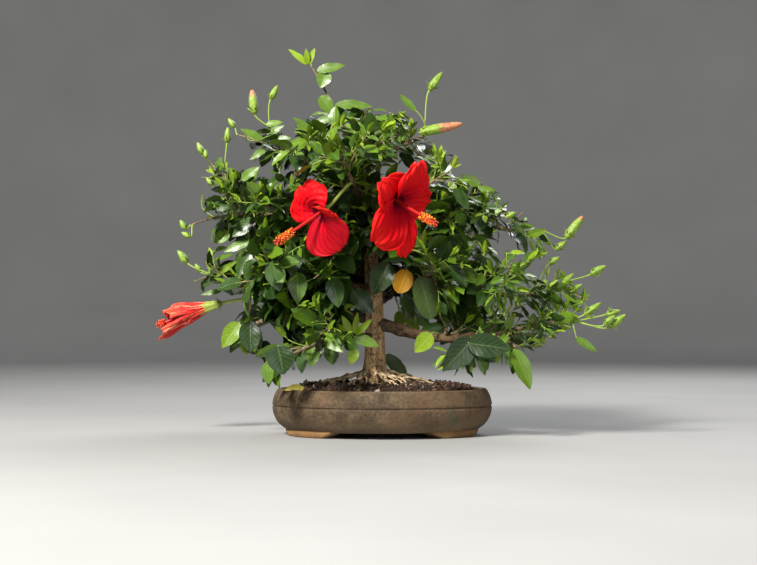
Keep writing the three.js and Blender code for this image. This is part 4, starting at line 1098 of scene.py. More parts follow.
def grow_mass(mass, controls, end, owner, draw):
    """One mass: a stem, side twigs, finer twigs on them all, their leaves and tufts at every other tip."""
    stem = Shoot(controls, STEM["bare"], RADII["stem"], curve_length(controls))
    twigs = side_shoots(stem, mass.twigs, mass.spread, owner, draw, TWIG_BARE, RADII["twig"], SPACE_MARGIN)
    main = [stem] + [twig for twig in twigs if twig_fits(twig, EDGE_SLACK["twig"])]
    placed = np.full((1, 3), 1e4)
    leaves = []
    for number, shoot in enumerate(main):
        last = end if number == 0 else 1
        grown, placed = shoot_leaves(shoot, LEAF["spacing"], 1, last, owner, placed, draw)
        leaves += grown
    fine = []
    for shoot in main:
        count = max(1, round(shoot.length / FINE["every"]))
        finer = side_shoots(shoot, count, FINE["reach"], owner, draw, FINE["bare"], FINE["radius"],
                            LEAF_MINGLE)
        fine += [twig for twig in finer if twig_fits(twig, 0)]
    for shoot in fine:
        grown, placed = shoot_leaves(shoot, FINE["spacing"], FINE["leaf"], 1, owner, placed, draw)
        leaves += grown
    for number, shoot in enumerate(main[1 if end < 1 else 0:] + fine):
        if number % TUFT["every"] == 0:
            leaves += [leaf for leaf in tip_tuft(shoot, draw) if tuft_fits(leaf)]
    return main, fine, leaves


def add_shoots(heap, shoots, steps, sides, tint, last=1, knot=0):
    """Shoots: tubes along their curves up to a last share, thinning to the tip, with even knots."""
    shares = np.linspace(0, last, steps)
    if shoots:
        paths = np.stack([curve_points(shoot.controls, shares) for shoot in shoots])
        thick = np.array([shoot.thick for shoot in shoots])[:, None]
        waves = np.array([shoot.length for shoot in shoots])[:, None] / RADII["knots_apart"]
        knots = 1 + knot * np.abs(np.sin(np.pi * waves * shares[None, :])) ** 6
        radii = mix(thick, RADII["thin"] * np.minimum(1, thick), shares[None, :]) * knots
        tubes(heap, paths, radii, sides, tint)


# Leaves


def leaf_outline(along, fullest, tip):
    """A blade's half width, 1 at its widest: a power of the way along times a power of the way left."""
    width = along**fullest * (1 - along) ** tip
    return np.maximum(width / width.max(), 0.02)


def leaf_blades(heap, root, along, face, length, width_share, fold, bend, tints, teeth=BLADE["teeth"],
                outline=POINTED):
    """Blades on a grid of rows along the midrib, closer at its ends, and columns across it.

    The halves fold up from the midrib, every other row of the margin stands out as a tooth, the blade bends
    down by the square of the way along, and its margin waves.
    """
    even = np.linspace(0, 1, BLADE["rows"])
    v = mix(even, 0.5 - 0.5 * np.cos(np.pi * even), BLADE["close_ends"])[None, :, None]
    t = np.linspace(-1, 1, BLADE["columns"])[None, None, :]
    length, width_share, fold, bend = (value[:, None, None] for value in (length, width_share, fold, bend))
    odd = (np.arange(BLADE["rows"]) % 2 * 2 - 1)[None, :, None] * (v > BLADE["teeth_from"]) * (np.abs(t) == 1)
    half = 0.5 * length * width_share * leaf_outline(v, *outline) * (1 + teeth * odd)
    swing = np.sin(BLADE["waves"] * v * np.pi + 9 * fold)
    wave = BLADE["wave"] * length * swing * np.abs(t) ** 2 * np.sin(np.pi * v)
    sideways = t * half * np.cos(fold)
    over = np.abs(t) * half * np.sin(fold) - bend * length * v**2 + wave
    onwards = length * (v - BLADE["drawn_in"] * bend * v**2) + 0 * t
    ways = (root, along, np.cross(face, along), face)
    root, along, across, face = (way[:, None, None, :] for way in ways)
    points = root + along * onwards[..., None] + across * sideways[..., None] + face * over[..., None]
    faces = grid_faces(BLADE["rows"], BLADE["columns"], copies=len(root))[:, ::-1]
    places = np.stack(np.broadcast_arrays(t * 0.5 + 0.5, v), -1)
    heap.add(points, [faces], places, tints[:, None, None])


def leaf_stalks(heap, root, along, base):
    """Leaf stalks: thin tubes that leave the twig and curve up into the blade's base."""
    middle = mix(root, base, 0.5) + UP * 0.12 * np.linalg.norm(base - root, axis=1)[:, None]
    paths = np.stack([root, middle, base + along * 1.5], 1)
    radii = np.full(paths.shape[:2], RADII["stalk"])
    tubes(heap, paths, radii, 4, 0.8)


def add_leaves(blades, stalks, leaves, rng):
    """Blades and stalks of many leaves: the youngest are narrow and folded, the oldest broad and arched."""
    fields = [np.array([getattr(leaf, field) for leaf in leaves]) for field in Leaf._fields]
    root, along, face, length, youth = fields
    count = len(leaves)
    stalk = length * LEAF["stalk_share"]
    base = root + along * stalk[:, None]
    youth = np.clip(youth, 0, 1)
    width, fold, bend = (mix(*AGE[size], youth) * mix(*VARIETY[size], rng.random(count))
                         for size in ("width", "fold", "bend"))
    width = LEAF["width_share"] * width * mix(1, AGE["right_width"], rightness(root[:, 0]))
    leaf_blades(blades, base, along, face, length - stalk, width, fold, bend, rng.random(count))
    leaf_stalks(stalks, root, along, base)


def add_blade(heap, base, tip, facing, width, fold, bend, tint, *form):
    """One blade from a base to a tip, turned to a facing as far as it goes."""
    along = unit(tip - base)
    sizes = np.array([np.linalg.norm(tip - base), width, fold, bend, tint])[:, None]
    leaf_blades(heap, base[None], along[None], square_facing(facing, along)[None], *sizes, *form)


def add_marked_leaf(blades, stalks, leaf):
    """One marked leaf: a stalk from its carrier that bends over into a blade faced to the front.

    It faces up too, or on the right of the crown outwards instead.
    """
    controls = LIMBS[leaf.carrier].controls if leaf.carrier in LIMBS else STEMS[leaf.carrier]
    root = curve_points(controls, leaf.at)
    base, tip = np.array(leaf.base, float), np.array(leaf.tip, float)
    over = mix(root, base, 0.6) + UP * MARKED_BLADE["stalk_rise"]
    path = curve_points([root, over, base, base + unit(tip - base)], np.linspace(0, 1, 8))
    tubes(stalks, path[None], np.full((1, 8), MARKED_BLADE["stalk"]), 6, 0.8)
    facing = mix(FACING["upwards"], FACING["outwards"], rightness(base[0]))
    outline = ROUND if leaf.kind in ("dull", "yellow") else POINTED
    add_blade(blades, base, tip, facing, leaf.width, MARKED_BLADE["fold"], MARKED_BLADE["bend"], leaf.tint,
              MARKED_BLADE["teeth"], outline)


def add_fallen_leaf(blades):
    """A straw-coloured leaf that lies on the soil against the rim, face up."""
    base, tip = np.array(FALLEN["base"], float), np.array(FALLEN["tip"], float)
    sizes = (FALLEN[size] for size in ("width", "fold", "bend", "tint"))
    add_blade(blades, base, tip, FACING["fallen"], *sizes)


# Buds


def bud_body(heap, foot, way, length, radius, first, last, blunt=1, teeth=0):
    """A bud, or the stretch of it between two shares: a spindle with five ridges.

    Its radius is a power of a sine of the way along, drawn towards the foot. With teeth, its end dips in
    between the ridges, so that the ridges run out as points over what is inside.
    """
    v = np.linspace(max(first, 0.02), last, BUD["rows"])
    angle = 2 * np.pi * np.arange(BUD["sides"]) / BUD["sides"]
    ridge = 1 + BUD["ridge"] * np.cos(5 * angle)
    swell = np.sin(np.pi * (0.1 + 0.88 * v**0.8)) ** blunt
    point = last - teeth * (1 - np.abs(np.cos(2.5 * angle)))
    dip = BUD["dip"] * np.clip((v[:, None] - point) / BUD["dip_over"], 0, 1) if teeth else 0
    path = foot + way * (length * v)[:, None]
    tubes(heap, path[None], (radius * swell[:, None] * ridge * (1 - dip))[None], BUD["sides"], 0.5)


def bud_bracts(heap, base, way, length, rng):
    """Narrow bracts that stand round each bud's foot, curving outwards."""
    each = BUD["bracts"]
    turns = 2 * np.pi * np.arange(each) / each
    aside = np.stack([[square_to(axis, turn) for turn in turns] for axis in way]).reshape(-1, 3)
    axis = np.repeat(way, each, 0)
    total = len(axis)
    size = np.repeat(length, each) * mix(*VARIETY["bract"], rng.random(total))
    width, fold, bend = (np.full(total, BRACT[size]) for size in ("width", "fold", "bend"))
    leaf_blades(heap, np.repeat(base, each, 0) + aside * 1.2, unit(axis * 0.8 + aside * 0.6),
                unit(axis * 0.6 - aside * 0.8), size, width, fold, bend, rng.random(total), teeth=0)


# Blooms


def bloom_turn(bloom):
    """The rotation that takes +Z to the way a bloom faces."""
    return np.array(Vector(UP).rotation_difference(Vector(bloom.faces)).to_matrix())


def turned(bloom, points):
    """Points of a bloom's own frame, +Z out of its throat, set at its calyx and turned the way it faces."""
    return points @ bloom_turn(bloom).T + np.array(bloom.calyx, float)


def surface_normals(points):
    """Unit normals of a grid surface: across its rows times along its columns."""
    return unit(np.cross(np.gradient(points, axis=1), np.gradient(points, axis=0)))


def petal_arc(bloom, lean, length, share):
    """How far a petal stands from the axis and along it.

    Its lean grows from the first angle to the last with a power of the way along, and the steps add up.
    """
    first, last = np.radians(np.array(bloom.open) + [0, lean])
    fine = np.linspace(0, 1, 200)
    angle = first + (last - first) * fine ** BLOOM["funnel"]
    out, along = (np.cumsum(way(angle)) / len(fine) for way in (np.sin, np.cos))
    return BLOOM["throat"] + length * np.interp(share, fine, out), length * np.interp(share, fine, along)


def petal_sheet(bloom, petal, rng):
    """One open petal.

    It leaves the throat and bends over along an arc. Its half width is a power of the sine of the squared way
    along, it tilts to lie over the next, two waves ruffle its margin, creases run along it or across it, and
    it cups a little.
    """
    share = np.linspace(0, 1, PETAL_ROWS)[:, None]
    across = np.linspace(-1, 1, PETAL_COLUMNS)[None, :]
    length = bloom.length * petal.length * (1 - 0.05 * across**2 * rng.uniform(0.6, 1.6))
    radius, height = petal_arc(bloom, petal.lean, length, share)
    rounded = np.maximum(np.sin(np.pi * share**2), 0) ** BLOOM["roundness"]
    half = BLOOM["root_half"] + BLOOM["half_width"] * petal.width * rounded
    sweep = np.radians(petal.turn) + across * half / np.maximum(radius, BLOOM["least_radius"])
    lap = petal.twist * across * half * share**2
    points = round_axis(radius, sweep, height + lap)
    phase = rng.uniform(0, 2 * np.pi, 4)
    margin = np.abs(across) ** 1.6 * 0.75 + share**4 * 0.6
    ruffle = 3.2 * share * margin * np.sin(7 * across + 9 * share + phase[0])
    ruffle = ruffle + 1.4 * share * margin * np.sin(17 * across - 12 * share + phase[1])
    waves = mix(26 * across, 40 * share + 7 * across, petal.ripple) + 2 * np.sin(6 * share + phase[2])
    crease = mix(1.1, 1.8, petal.ripple) * petal.ruffle * share * np.sin(waves) * (1 - share**6)
    cup = 1.6 * np.sin(np.pi * share) * np.cos(2.2 * across + phase[3] * 0.2)
    points = points + surface_normals(points) * ((ruffle + crease) * petal.ruffle + cup)[..., None]
    return points, np.stack(np.broadcast_arrays(across * 0.5 + 0.5, share), -1)


def petal_funnel(bloom):
    """The throat, where the petals' feet close up: the petals' arc turned once round the axis."""
    share = np.linspace(0, BLOOM["funnel_share"], FUNNEL_ROWS)[:, None]
    turn = np.linspace(0, 2 * np.pi, PETAL_COLUMNS)[None, :]
    radius, height = petal_arc(bloom, 0, bloom.length, share)
    return round_axis(radius, turn, height), np.stack(np.broadcast_arrays(0.5 + 0 * turn, share * 0.8), -1)


def rolled_arc(share):
    """The closing bloom's trumpet: its radius grows with a power of the way along, and swells midway."""
    return 3.6 + 12 * share**1.1 + 2.4 * np.sin(np.pi * share**1.3)


def viewer_turn(bloom):
    """The turn about a bloom's axis at which its side faces the front."""
    front = bloom_turn(bloom).T @ np.array([0.0, -1.0, 0.0])
    return np.arctan2(front[1], front[0])


def rolled_petal(bloom, place, rng):
    """One petal of the closing bloom, by its place: 0 at the back, up to 2 and -2 beside the slit in front.

    It wraps round the trumpet, one margin inside the next petal and one outside, its end ragged, its length
    crumpled. Those beside the slit draw back from it along their way.
    """
    share = np.linspace(0, 1, PETAL_ROWS)[:, None]
    across = np.linspace(-1, 1, PETAL_COLUMNS)[None, :]
    phase = rng.uniform(0, 2 * np.pi, 4)
    beside = abs(place) == 2
    around = viewer_turn(bloom) + np.pi + place * 2 * np.pi / 5
    ragged = 1 - 0.1 * across**2 + 0.05 * np.sin(5 * across + phase[0]) + 0.05 * place
    height = 8 + (bloom.length - 14) * share * ragged
    radius = rolled_arc(share) + 1.7 * across * share + 1.5 * beside * share
    crumple = 1.7 * np.sin(6 * across + 6 * share + phase[1])
    crumple = crumple + 0.8 * np.sin(17 * across - 9 * share + phase[2])
    radius = radius + share * crumple + 1.3 * share**3 * np.sin(7 * across + phase[3])
    turn = around + (0.85 if beside else 0.95) * across - 0.42 * np.sign(place) * beside * share
    places = np.stack(np.broadcast_arrays(across * 0.5 + 0.5, 0.35 + 0.65 * share), -1)
    return round_axis(radius, turn, height), places


def calyx_cup(heap, bloom):
    """The calyx: a cup close outside the petals' arc, from a rounded foot to a brim with five teeth."""
    rows, sides = 12, 40
    angle = 2 * np.pi * np.arange(sides)[None, :] / sides
    teeth = np.abs(np.cos(2.5 * angle)) ** 1.5
    share = np.linspace(0, 1, rows)[:, None] * BLOOM["calyx_share"] * (0.62 + 0.38 * teeth)
    radius, height = (petal_arc(bloom, 0, bloom.length, share) if bloom.open
                      else (rolled_arc(share) + 0.4, 4 + 110 * share))
    radius = radius + BLOOM["calyx_wall"] + 0.5 * np.cos(5 * angle)
    cup = round_axis(radius, angle, height)
    foot = cup[:1] * np.array([0.45, 0.45, 1]) - UP * 3.5
    points = turned(bloom, np.concatenate([foot, cup]))
    heap.add(points, [grid_faces(rows + 1, sides, around=True)], tints=0.6)


def bloom_stalk(heap, bloom):
    """The stalk: a cubic curve that leaves along its limb's way and arrives along the bloom's axis."""
    limb = LIMBS[bloom.limb].controls
    begin, calyx = curve_points(limb, bloom.at), np.array(bloom.calyx, float)
    lead = STEM["lead"] * np.linalg.norm(calyx - begin)
    leave, arrive = curve_way(limb, bloom.at) * lead, unit(np.array(bloom.faces)) * lead
    controls = [begin, begin + leave, calyx - arrive, calyx]
    shares = np.linspace(0, 1, 18)
    tubes(heap, curve_points(controls, shares)[None], mix(*BLOOM["stalk"], shares)[None], 8, 0.9)


BALL = np.array([[0, 0, 1], [1, 0, 0], [0, 1, 0], [-1, 0, 0], [0, -1, 0], [0, 0, -1]], float)
BALL_FACES = np.array([[0, 1, 2], [0, 2, 3], [0, 3, 4], [0, 4, 1],
                       [5, 2, 1], [5, 3, 2], [5, 4, 3], [5, 1, 4]])


def ball_faces(count):
    """The faces of many eight-faced balls, each on six points of its own."""
    return (BALL_FACES[None] + len(BALL) * np.arange(count)[:, None, None]).reshape(-1, 3)


def knobs(heap, middles, sizes, tints=0.5):
    """Small eight-faced knobs, each of its own size."""
    points = middles[:, None, :] + BALL[None] * sizes[:, None, None]
    heap.add(points, [ball_faces(len(middles))], tints=np.broadcast_to(tints, (len(middles),))[:, None])


def on_column(bloom, points):
    """Points of a bloom's own frame carried along its column, which rises with the square of the way out."""
    out = points[..., 2:] / (bloom.length * BLOOM["column_share"])
    rise = BLOOM["column_rise"] if bloom.open else -BLOOM["sag"]
    return turned(bloom, points) + UP * rise * out**2


def bloom_column(columns, anthers, stigmas, bloom, rng):
    """The column: a tapering tube, filaments that stand out of its end in golden turns, five stigma pads."""
    reach = bloom.length * (BLOOM["column_share"] if bloom.open else 1)
    shares = np.linspace(0, 1, 16)
    axis = UP * (reach * shares)[:, None]
    tubes(columns, on_column(bloom, axis)[None], mix(*BLOOM["column"], shares)[None], 10, 0.3)
    count = BLOOM["stamens"]
    first = BLOOM["stamens_from"] if bloom.open else STAMEN["closed_from"]
    along = mix(first, STAMEN["last"], np.linspace(0, 1, count))
    side = round_axis(1, GOLDEN_TURN * np.arange(count), 0)
    foot = side * STAMEN["foot"] + UP * (reach * along)[:, None]
    size = mix(*STAMEN["length"], rng.random(count))[:, None]
    head = foot + side * size + UP * size * mix(*STAMEN["lean"], rng.random(count))[:, None]
    middle = mix(foot, head, 0.5) + UP * STAMEN["bow"]
    paths = on_column(bloom, np.stack([foot, middle, head], 1))
    tubes(columns, paths, np.full((count, 3), STAMEN["radius"]), 3, 0.6)
    sizes = STAMEN["knob"] * mix(*STAMEN["variety"], rng.random(count))
    knobs(anthers if bloom.open else stigmas, on_column(bloom, head), sizes, rng.random(count))
    lobes = STIGMA["lobes"]
    foot = np.tile(UP * reach, (lobes, 1))
    head = foot + round_axis(1, 2 * np.pi * np.arange(lobes) / lobes, 1) * STIGMA["reach"]
    paths = on_column(bloom, np.stack([foot, mix(foot, head, 0.5) + UP, head], 1))
    tubes(columns, paths, np.full((lobes, 3), STIGMA["radius"]), 4, 0.5)
    knobs(stigmas, on_column(bloom, head), np.full(lobes, STIGMA["knob"]))


# Bark: trunk, roots and boughs


def bark_relief(shares, sides, waves, rng):
    """Relief on a limb: a sum of cosines with whole numbers of waves round it and any number along it."""
    angle = 2 * np.pi * np.arange(sides)[None, :] / sides
    total = np.zeros((len(shares), sides))
    for around, along, depth in waves:
        turn, drift = rng.uniform(0, 2 * np.pi, 2)
        way = along * shares[:, None] * 2 * np.pi
        total += depth * np.cos(around * angle + way + turn) * np.cos(0.37 * way + drift)
    return total


def wobble(points, size, rng):
    """A path pushed gently off its curve by slow waves that vanish at both ends."""
    share = np.linspace(0, 1, len(points))[:, None]
    phase = rng.uniform(0, 2 * np.pi, (2, 3))
    wave = np.sin(2 * np.pi * 1.6 * share + phase[0]) + 0.5 * np.sin(2 * np.pi * 3.7 * share + phase[1])
    return points + size * np.sin(np.pi * share) * wave


def add_trunk(heap, rng):
    """The trunk: rings along its curve with deep slow flutes that deepen at the foot, and fine ridges.

    Its flare is drawn in, since the roots that make it up stand out one by one.
    """
    sides = 72
    shares = np.linspace(0, 1, 170)
    flutes = bark_relief(shares, sides, RELIEF["flutes"], rng)
    ridges = bark_relief(shares, sides, RELIEF["ridges"], rng)
    flare = GIRTH["flare"] * trunk_fade(shares, GIRTH["flare_height"])
    radius = (trunk_radius(shares) - GIRTH["flare_drawn_in"] * flare)[:, None]
    foot = trunk_fade(shares, GIRTH["flute_height"])[:, None]
    tubes(heap, curve_points(TRUNK, shares)[None], (radius + flutes * (0.9 + 2 * foot) + ridges)[None], sides)


def add_roots(heap, rng):
    """Surface roots: each leaves the trunk's shoulder and slants down to the ground, clear of it on its way.

    A thinner fork leaves every root to one side.
    """
    draw = seeded(SEEDS["roots"])
    sides = 10
    shares = np.linspace(0, 1, 34)
    centre = np.array([TRUNK[0][0], 0, GROUND])
    for index in range(ROOTS["count"]):
        turn = 2 * np.pi * (index + 0.5 * draw()) / ROOTS["count"]
        reach = mix(ROOTS["shortest"], ROOTS["longest"], draw())
        main = None
        for twist, size, girth in ROOT_FORKS:
            way = np.array([np.cos(turn + twist), POT["depth_share"] * np.sin(turn + twist), 0])
            rise = ROOTS["shoulder"] * mix(0.75, 1.25, draw())
            begin = centre + way * ROOTS["start"] + UP * rise if main is None else main[ROOTS["fork_step"]]
            knee = centre + way * reach * size * ROOTS["knee"] + UP * ROOTS["arch"]
            end = centre + way * reach * size
            end[2] = soil_height(end[0], end[1]) - ROOTS["sunk"]
            lead = way * ROOTS["lead"] - UP * ROOTS["dip"]
            shoulder = begin + lead if main is None else mix(begin, knee, 0.5)
            path = wobble(curve_points([begin, shoulder, knee, end], shares), ROOTS["wobble"], rng)
            main = path if main is None else main
            radius = mix(ROOTS["thick"], ROOTS["thin"], shares**0.5) * girth
            relief = bark_relief(shares, sides, RELIEF["roots"], rng) * girth
            tubes(heap, path[None], (radius[:, None] + relief)[None], sides, 0.7)


def add_boughs(heap, rng):
    """Boughs: rings along each curve with a collar at the trunk, knots where twigs once left, and ridges."""
    sides = 20
    shares = np.linspace(0, 1, 60)
    for name in BOUGHS:
        limb = LIMBS[name]
        thick = limb.radius(0)
        path = wobble(curve_points(limb.controls, shares), KNOTS["wobble"], rng)
        collar = KNOTS["collar"] * thick * np.exp(-shares * KNOTS["collar_fade"])
        places = rng.uniform(*KNOTS["between"], KNOTS["count"])
        bumps = sum(np.exp(-(((shares - at) / KNOTS["half"]) ** 2)) for at in places)
        knots = KNOTS["height"] * thick * bumps
        relief = bark_relief(shares, sides, RELIEF["boughs"], rng)
        tubes(heap, path[None], ((limb.radius(shares) + collar + knots)[:, None] + relief)[None], sides)


# Pot and soil


def lathe(heap, profile, sides, rng):
    """A profile of (radius, height) rows turned about the axis into the pot's oval, barely out of true."""
    angle = 2 * np.pi * np.arange(sides)[None, :] / sides
    phase = rng.uniform(0, 2 * np.pi, 2)
    waves = np.cos(3 * angle + phase[0]) + 0.6 * np.cos(7 * angle + phase[1])
    points = round_axis(profile[:, :1] + POT["wave"] * waves, angle, profile[:, 1:], POT["depth_share"])
    heap.add(points, [grid_faces(len(profile), sides, around=True)])


def pot_profile():
    """The pot's section: base, belly, groove, rim band, rounded lip, inner wall and floor."""
    low, floor = POT["foot_height"], POT["foot_height"] + POT["floor"]
    base_half, belly_half, rim_half = POT["base_half"], POT["belly_half"], POT["rim_half"]
    belt, brim = POT["belt_height"], POT["height"] - POT["lip"]
    base = np.array([(2, low), (60, low), (base_half - 3, low)])
    bulge = [(base_half, low), (base_half + 9, low + 2), (belly_half - 1.5, POT["belly_height"] - 9),
             (belly_half - 0.6, belt - POT["belt_half"])]
    belly = curve_points(bulge, np.linspace(0, 1, 16))
    turn = np.linspace(-np.pi / 2, np.pi / 2, 7)
    groove = np.stack([belly_half - 1 - np.cos(turn), belt + np.sin(turn)], -1)
    lean = [(belly_half - 0.6, belt + POT["belt_half"]), (belly_half - 1.5, 50), (rim_half + 0.2, brim)]
    band = curve_points(lean, np.linspace(0, 1, 8))
    turn = np.linspace(0.15 * np.pi, 0.85 * np.pi, 7)
    half_wall = POT["wall"] / 2
    lip = np.stack([rim_half - half_wall + half_wall * np.cos(turn), brim + POT["lip"] * np.sin(turn)], -1)
    inside = np.array([(rim_half - POT["wall"], brim), (belly_half - POT["wall"], 30),
                       (base_half - 4, floor + 2), (2, floor)])
    return np.concatenate([base, belly, groove, band, lip, inside])


def add_feet(heap):
    """Four feet: a rounded section carried along an arc of the oval, drawn up to the base at both ends."""
    steps = 40
    share = np.linspace(0, 1, steps)[:, None]
    corner = np.array([(0.0, 1.0), (0.0, 0.22), (0.07, 0.0), (0.93, 0.0), (1.0, 0.22), (1.0, 1.0)])
    across, down = corner[None, :, 0], corner[None, :, 1]
    ends = np.clip(np.minimum(share, 1 - share) / FOOT["slope"], 0, 1) ** 0.7
    top = POT["foot_height"] + 1.5
    height = top - (top * (1 - down)) * (0.12 + 0.88 * ends)
    radius = mix(FOOT["inner"], FOOT["outer"], across)
    for quarter in range(4):
        sides = np.array([FOOT["start"], FOOT["end"]])
        low, high = sides if quarter % 2 == 0 else np.pi / 2 - sides[::-1]
        angle = quarter * np.pi / 2 + mix(low, high, share)
        points = round_axis(radius, angle, height, POT["depth_share"])
        ends_faces = np.array([range(6), range(steps * 6 - 1, steps * 6 - 7, -1)])
        heap.add(points, [grid_faces(steps, 6, around=True)[:, ::-1], ends_faces])


def soil_height(x, y):
    """The soil's level: flat round the trunk, falling to the wall, with soft hummocks."""
    out = np.hypot(x, y / POT["depth_share"])
    rim = POT["rim_half"] - POT["wall"]
    fall = np.clip((out - PLATEAU_HALF) / (rim - PLATEAU_HALF), 0, 1)
    hummocks = 0.9 * np.sin(x / 9) * np.cos(y / 8 + 1) + 0.6 * np.sin(x / 4.3 + y / 6)
    return mix(GROUND - 0.8, POT["height"] - WALL_DROP, fall) + hummocks * (1 - fall)


def add_soil(heap):
    """The soil's top: rings from the middle to the wall at the soil's level, and a skirt down the wall."""
    rows, sides = 60, 160
    radius = np.linspace(0.5, POT["rim_half"] - POT["wall"] - 0.4, rows)[:, None]
    angle = 2 * np.pi * np.arange(sides)[None, :] / sides
    x, y = radius * np.cos(angle), POT["depth_share"] * radius * np.sin(angle)
    top = np.stack([x, y, soil_height(x, y)], -1)
    skirt = top[-1:] - UP * 12
    heap.add(np.concatenate([top, skirt]), [grid_faces(rows + 1, sides, around=True)[:, ::-1]])


def add_grit(heaps, rng):
    """Grit: knobs of many sizes scattered evenly over the soil, dealt out among the colours."""
    count = GRIT["count"]
    turn = GOLDEN_TURN * np.arange(count)
    out = np.sqrt(rng.random(count)) * (POT["rim_half"] - POT["wall"] - 3)
    x, y = out * np.cos(turn), POT["depth_share"] * out * np.sin(turn)
    size = mix(GRIT["small"], GRIT["large"], rng.random(count) ** 3)
    sizes = size[:, None] * mix(*GRIT["variety"], rng.random((count, 3)))
    middles = np.stack([x, y, soil_height(x, y) + 0.25 * size], -1)
    kind = rng.choice(len(heaps), count, p=GRIT["dealt"])
    for index, heap in enumerate(heaps):
        chosen = kind == index
        spin = unit(rng.normal(size=(chosen.sum(), 3)))
        stones(heap, middles[chosen], sizes[chosen], spin, rng)


def stones(heap, middles, sizes, spin, rng):
    """Stones: an eight-faced knob with each corner pushed in or out, turned about a random axis."""
    count = len(middles)
    corners = BALL[None] * sizes[:, None, :] * mix(*GRIT["corner"], rng.random((count, len(BALL), 1)))
    angle = rng.uniform(0, 2 * np.pi, (count, 1, 1))
    axis = spin[:, None, :]
    turned_corners = (corners * np.cos(angle) + np.cross(axis, corners) * np.sin(angle)
                      + axis * (corners * axis).sum(-1, keepdims=True) * (1 - np.cos(angle)))
    heap.add(middles[:, None, :] + turned_corners, [ball_faces(count)], tints=rng.random((count, 1)))


# The plant put together


def make_pot():
    """The bowl and its feet."""
    rng = np.random.default_rng(SEEDS["pot"])
    bowl, feet = Heap(), Heap()
    lathe(bowl, pot_profile(), 200, rng)
    add_feet(feet)
    bowl.make("pot_bowl", stoneware_look(), "stoneware", ["pot"])
    feet.make("pot_feet", bare_clay_look(), "stoneware", ["pot"])


def make_soil():
    """The soil bed and the grit on it."""
    rng = np.random.default_rng(SEEDS["soil"])
    ground = Heap()
    add_soil(ground)
    ground.make("soil_bed", soil_look(), "grit", ["soil"])
    heaps = {name: Heap() for name in GRIT_COLOURS}
    add_grit(list(heaps.values()), rng)
    for name, (low, high) in GRIT_COLOURS.items():
        heaps[name].make(f"grit_{name}", clouded_look(f"grit_{name}", low, high, 0.8), "grit", ["soil"])


def make_wood():
    """The trunk, its surface roots and the boughs."""
    rng = np.random.default_rng(SEEDS["wood"])
    trunk, roots, boughs = Heap(), Heap(), Heap()
    add_trunk(trunk, rng)
    add_roots(roots, rng)
    add_boughs(boughs, rng)
    bark = bark_look("bark", (0.39, 0.255, 0.125), (0.15, 0.088, 0.04), (0.045, 0.024, 0.011))
    pale = bark_look("root_bark", (0.46, 0.34, 0.2), (0.2, 0.135, 0.075), (0.07, 0.042, 0.022))
    trunk.make("trunk_bark", bark, "bark", ["trunk"])
    roots.make("surface_roots", pale, "bark", ["trunk"])
    # The boughs' bark is a darker brown of its own, deepened further by painted shade from the crown.
    brown = bark_look("bough_bark", (0.105, 0.066, 0.034), (0.038, 0.023, 0.012), (0.018, 0.011, 0.006))
    boughs.make("bough_bark", brown, "bark", [f"bough_{name}" for name in BOUGHS])


def leaf_kind(leaf):
    """The heap a leaf goes to, by its youth."""
    return "dark" if leaf.youth < YOUTH["mid"] else "mid" if leaf.youth < YOUTH["young"] else "young"


def stem_end(name, controls):
    """The share at which a stem ends: its last bud or marked leaf, or without buds not before the edge."""
    buds = [bud.at for bud in BUDS if bud.stem == name]
    marked = [leaf.at for leaf in MARKED_LEAVES if leaf.carrier == name]
    shares = np.linspace(STEM["least"], 1, 21)
    inside = [share for share in shares if inside_edge(curve_points(controls, share)[None])]
    return max(buds + marked) if buds else max(inside + marked + [STEM["least"]])


def make_foliage():
    """All masses and sprays: their stems and twigs, and their leaves sorted by kind, with the marked ones."""
    rng = np.random.default_rng(SEEDS["foliage"])
    stems, twigs, shoots = Heap(), Heap(), Heap()
    kinds = {"dark": [], "mid": [], "young": []}
    names = list(MASSES)
    grown = [(mass, STEMS[name], names.index(name)) for name, mass in MASSES.items()]
    grown += [(spray, stem_controls(spray), None) for spray in SPRAYS]
    for number, (mass, controls, owner) in enumerate(grown):
        draw = seeded(SEEDS["first_mass"] + SEEDS["step"] * number)
        end = stem_end(names[owner], controls) if owner is not None else 1
        main, fine, leaves = grow_mass(mass, controls, end, owner, draw)
        add_shoots(stems, main[:1], 46, 7, 0.2, end, RADII["knot"])
        add_shoots(twigs, main[1:], 22, 6, 0.4, 1, RADII["knot"])
        add_shoots(shoots, fine, 6, 5, 0.75)
        for leaf in leaves:
            kinds[leaf_kind(leaf)].append(leaf)
    nodes = [f"leaves_{name}" for name in MASSES]
    for kind, finish in LEAF_FINISHES.items():
        blades = Heap()
        if kind in kinds:
            add_leaves(blades, shoots, kinds[kind], rng)
        for leaf in MARKED_LEAVES:
            if leaf.kind == kind:
                add_marked_leaf(blades, shoots, leaf)
        if kind == "straw":
            add_fallen_leaf(blades)
        blades.make(f"leaves_{kind}", leaf_look(f"leaf_{kind}", *finish), "leaves", nodes)
    make_buds(shoots, rng)
    grey = bark_look("stem_bark", (0.21, 0.155, 0.09), (0.085, 0.06, 0.034), (0.035, 0.024, 0.014))
    stems.make("stems", grey, "leaves", nodes)
    browning = shoot_look("twig_skin", (0.2, 0.14, 0.08), (0.14, 0.17, 0.045))
    twigs.make("twigs", browning, "leaves", nodes)
    green = shoot_look("shoot_skin", (0.15, 0.16, 0.05), (0.24, 0.36, 0.05))
    shoots.make("green_shoots", green, "leaves", nodes)


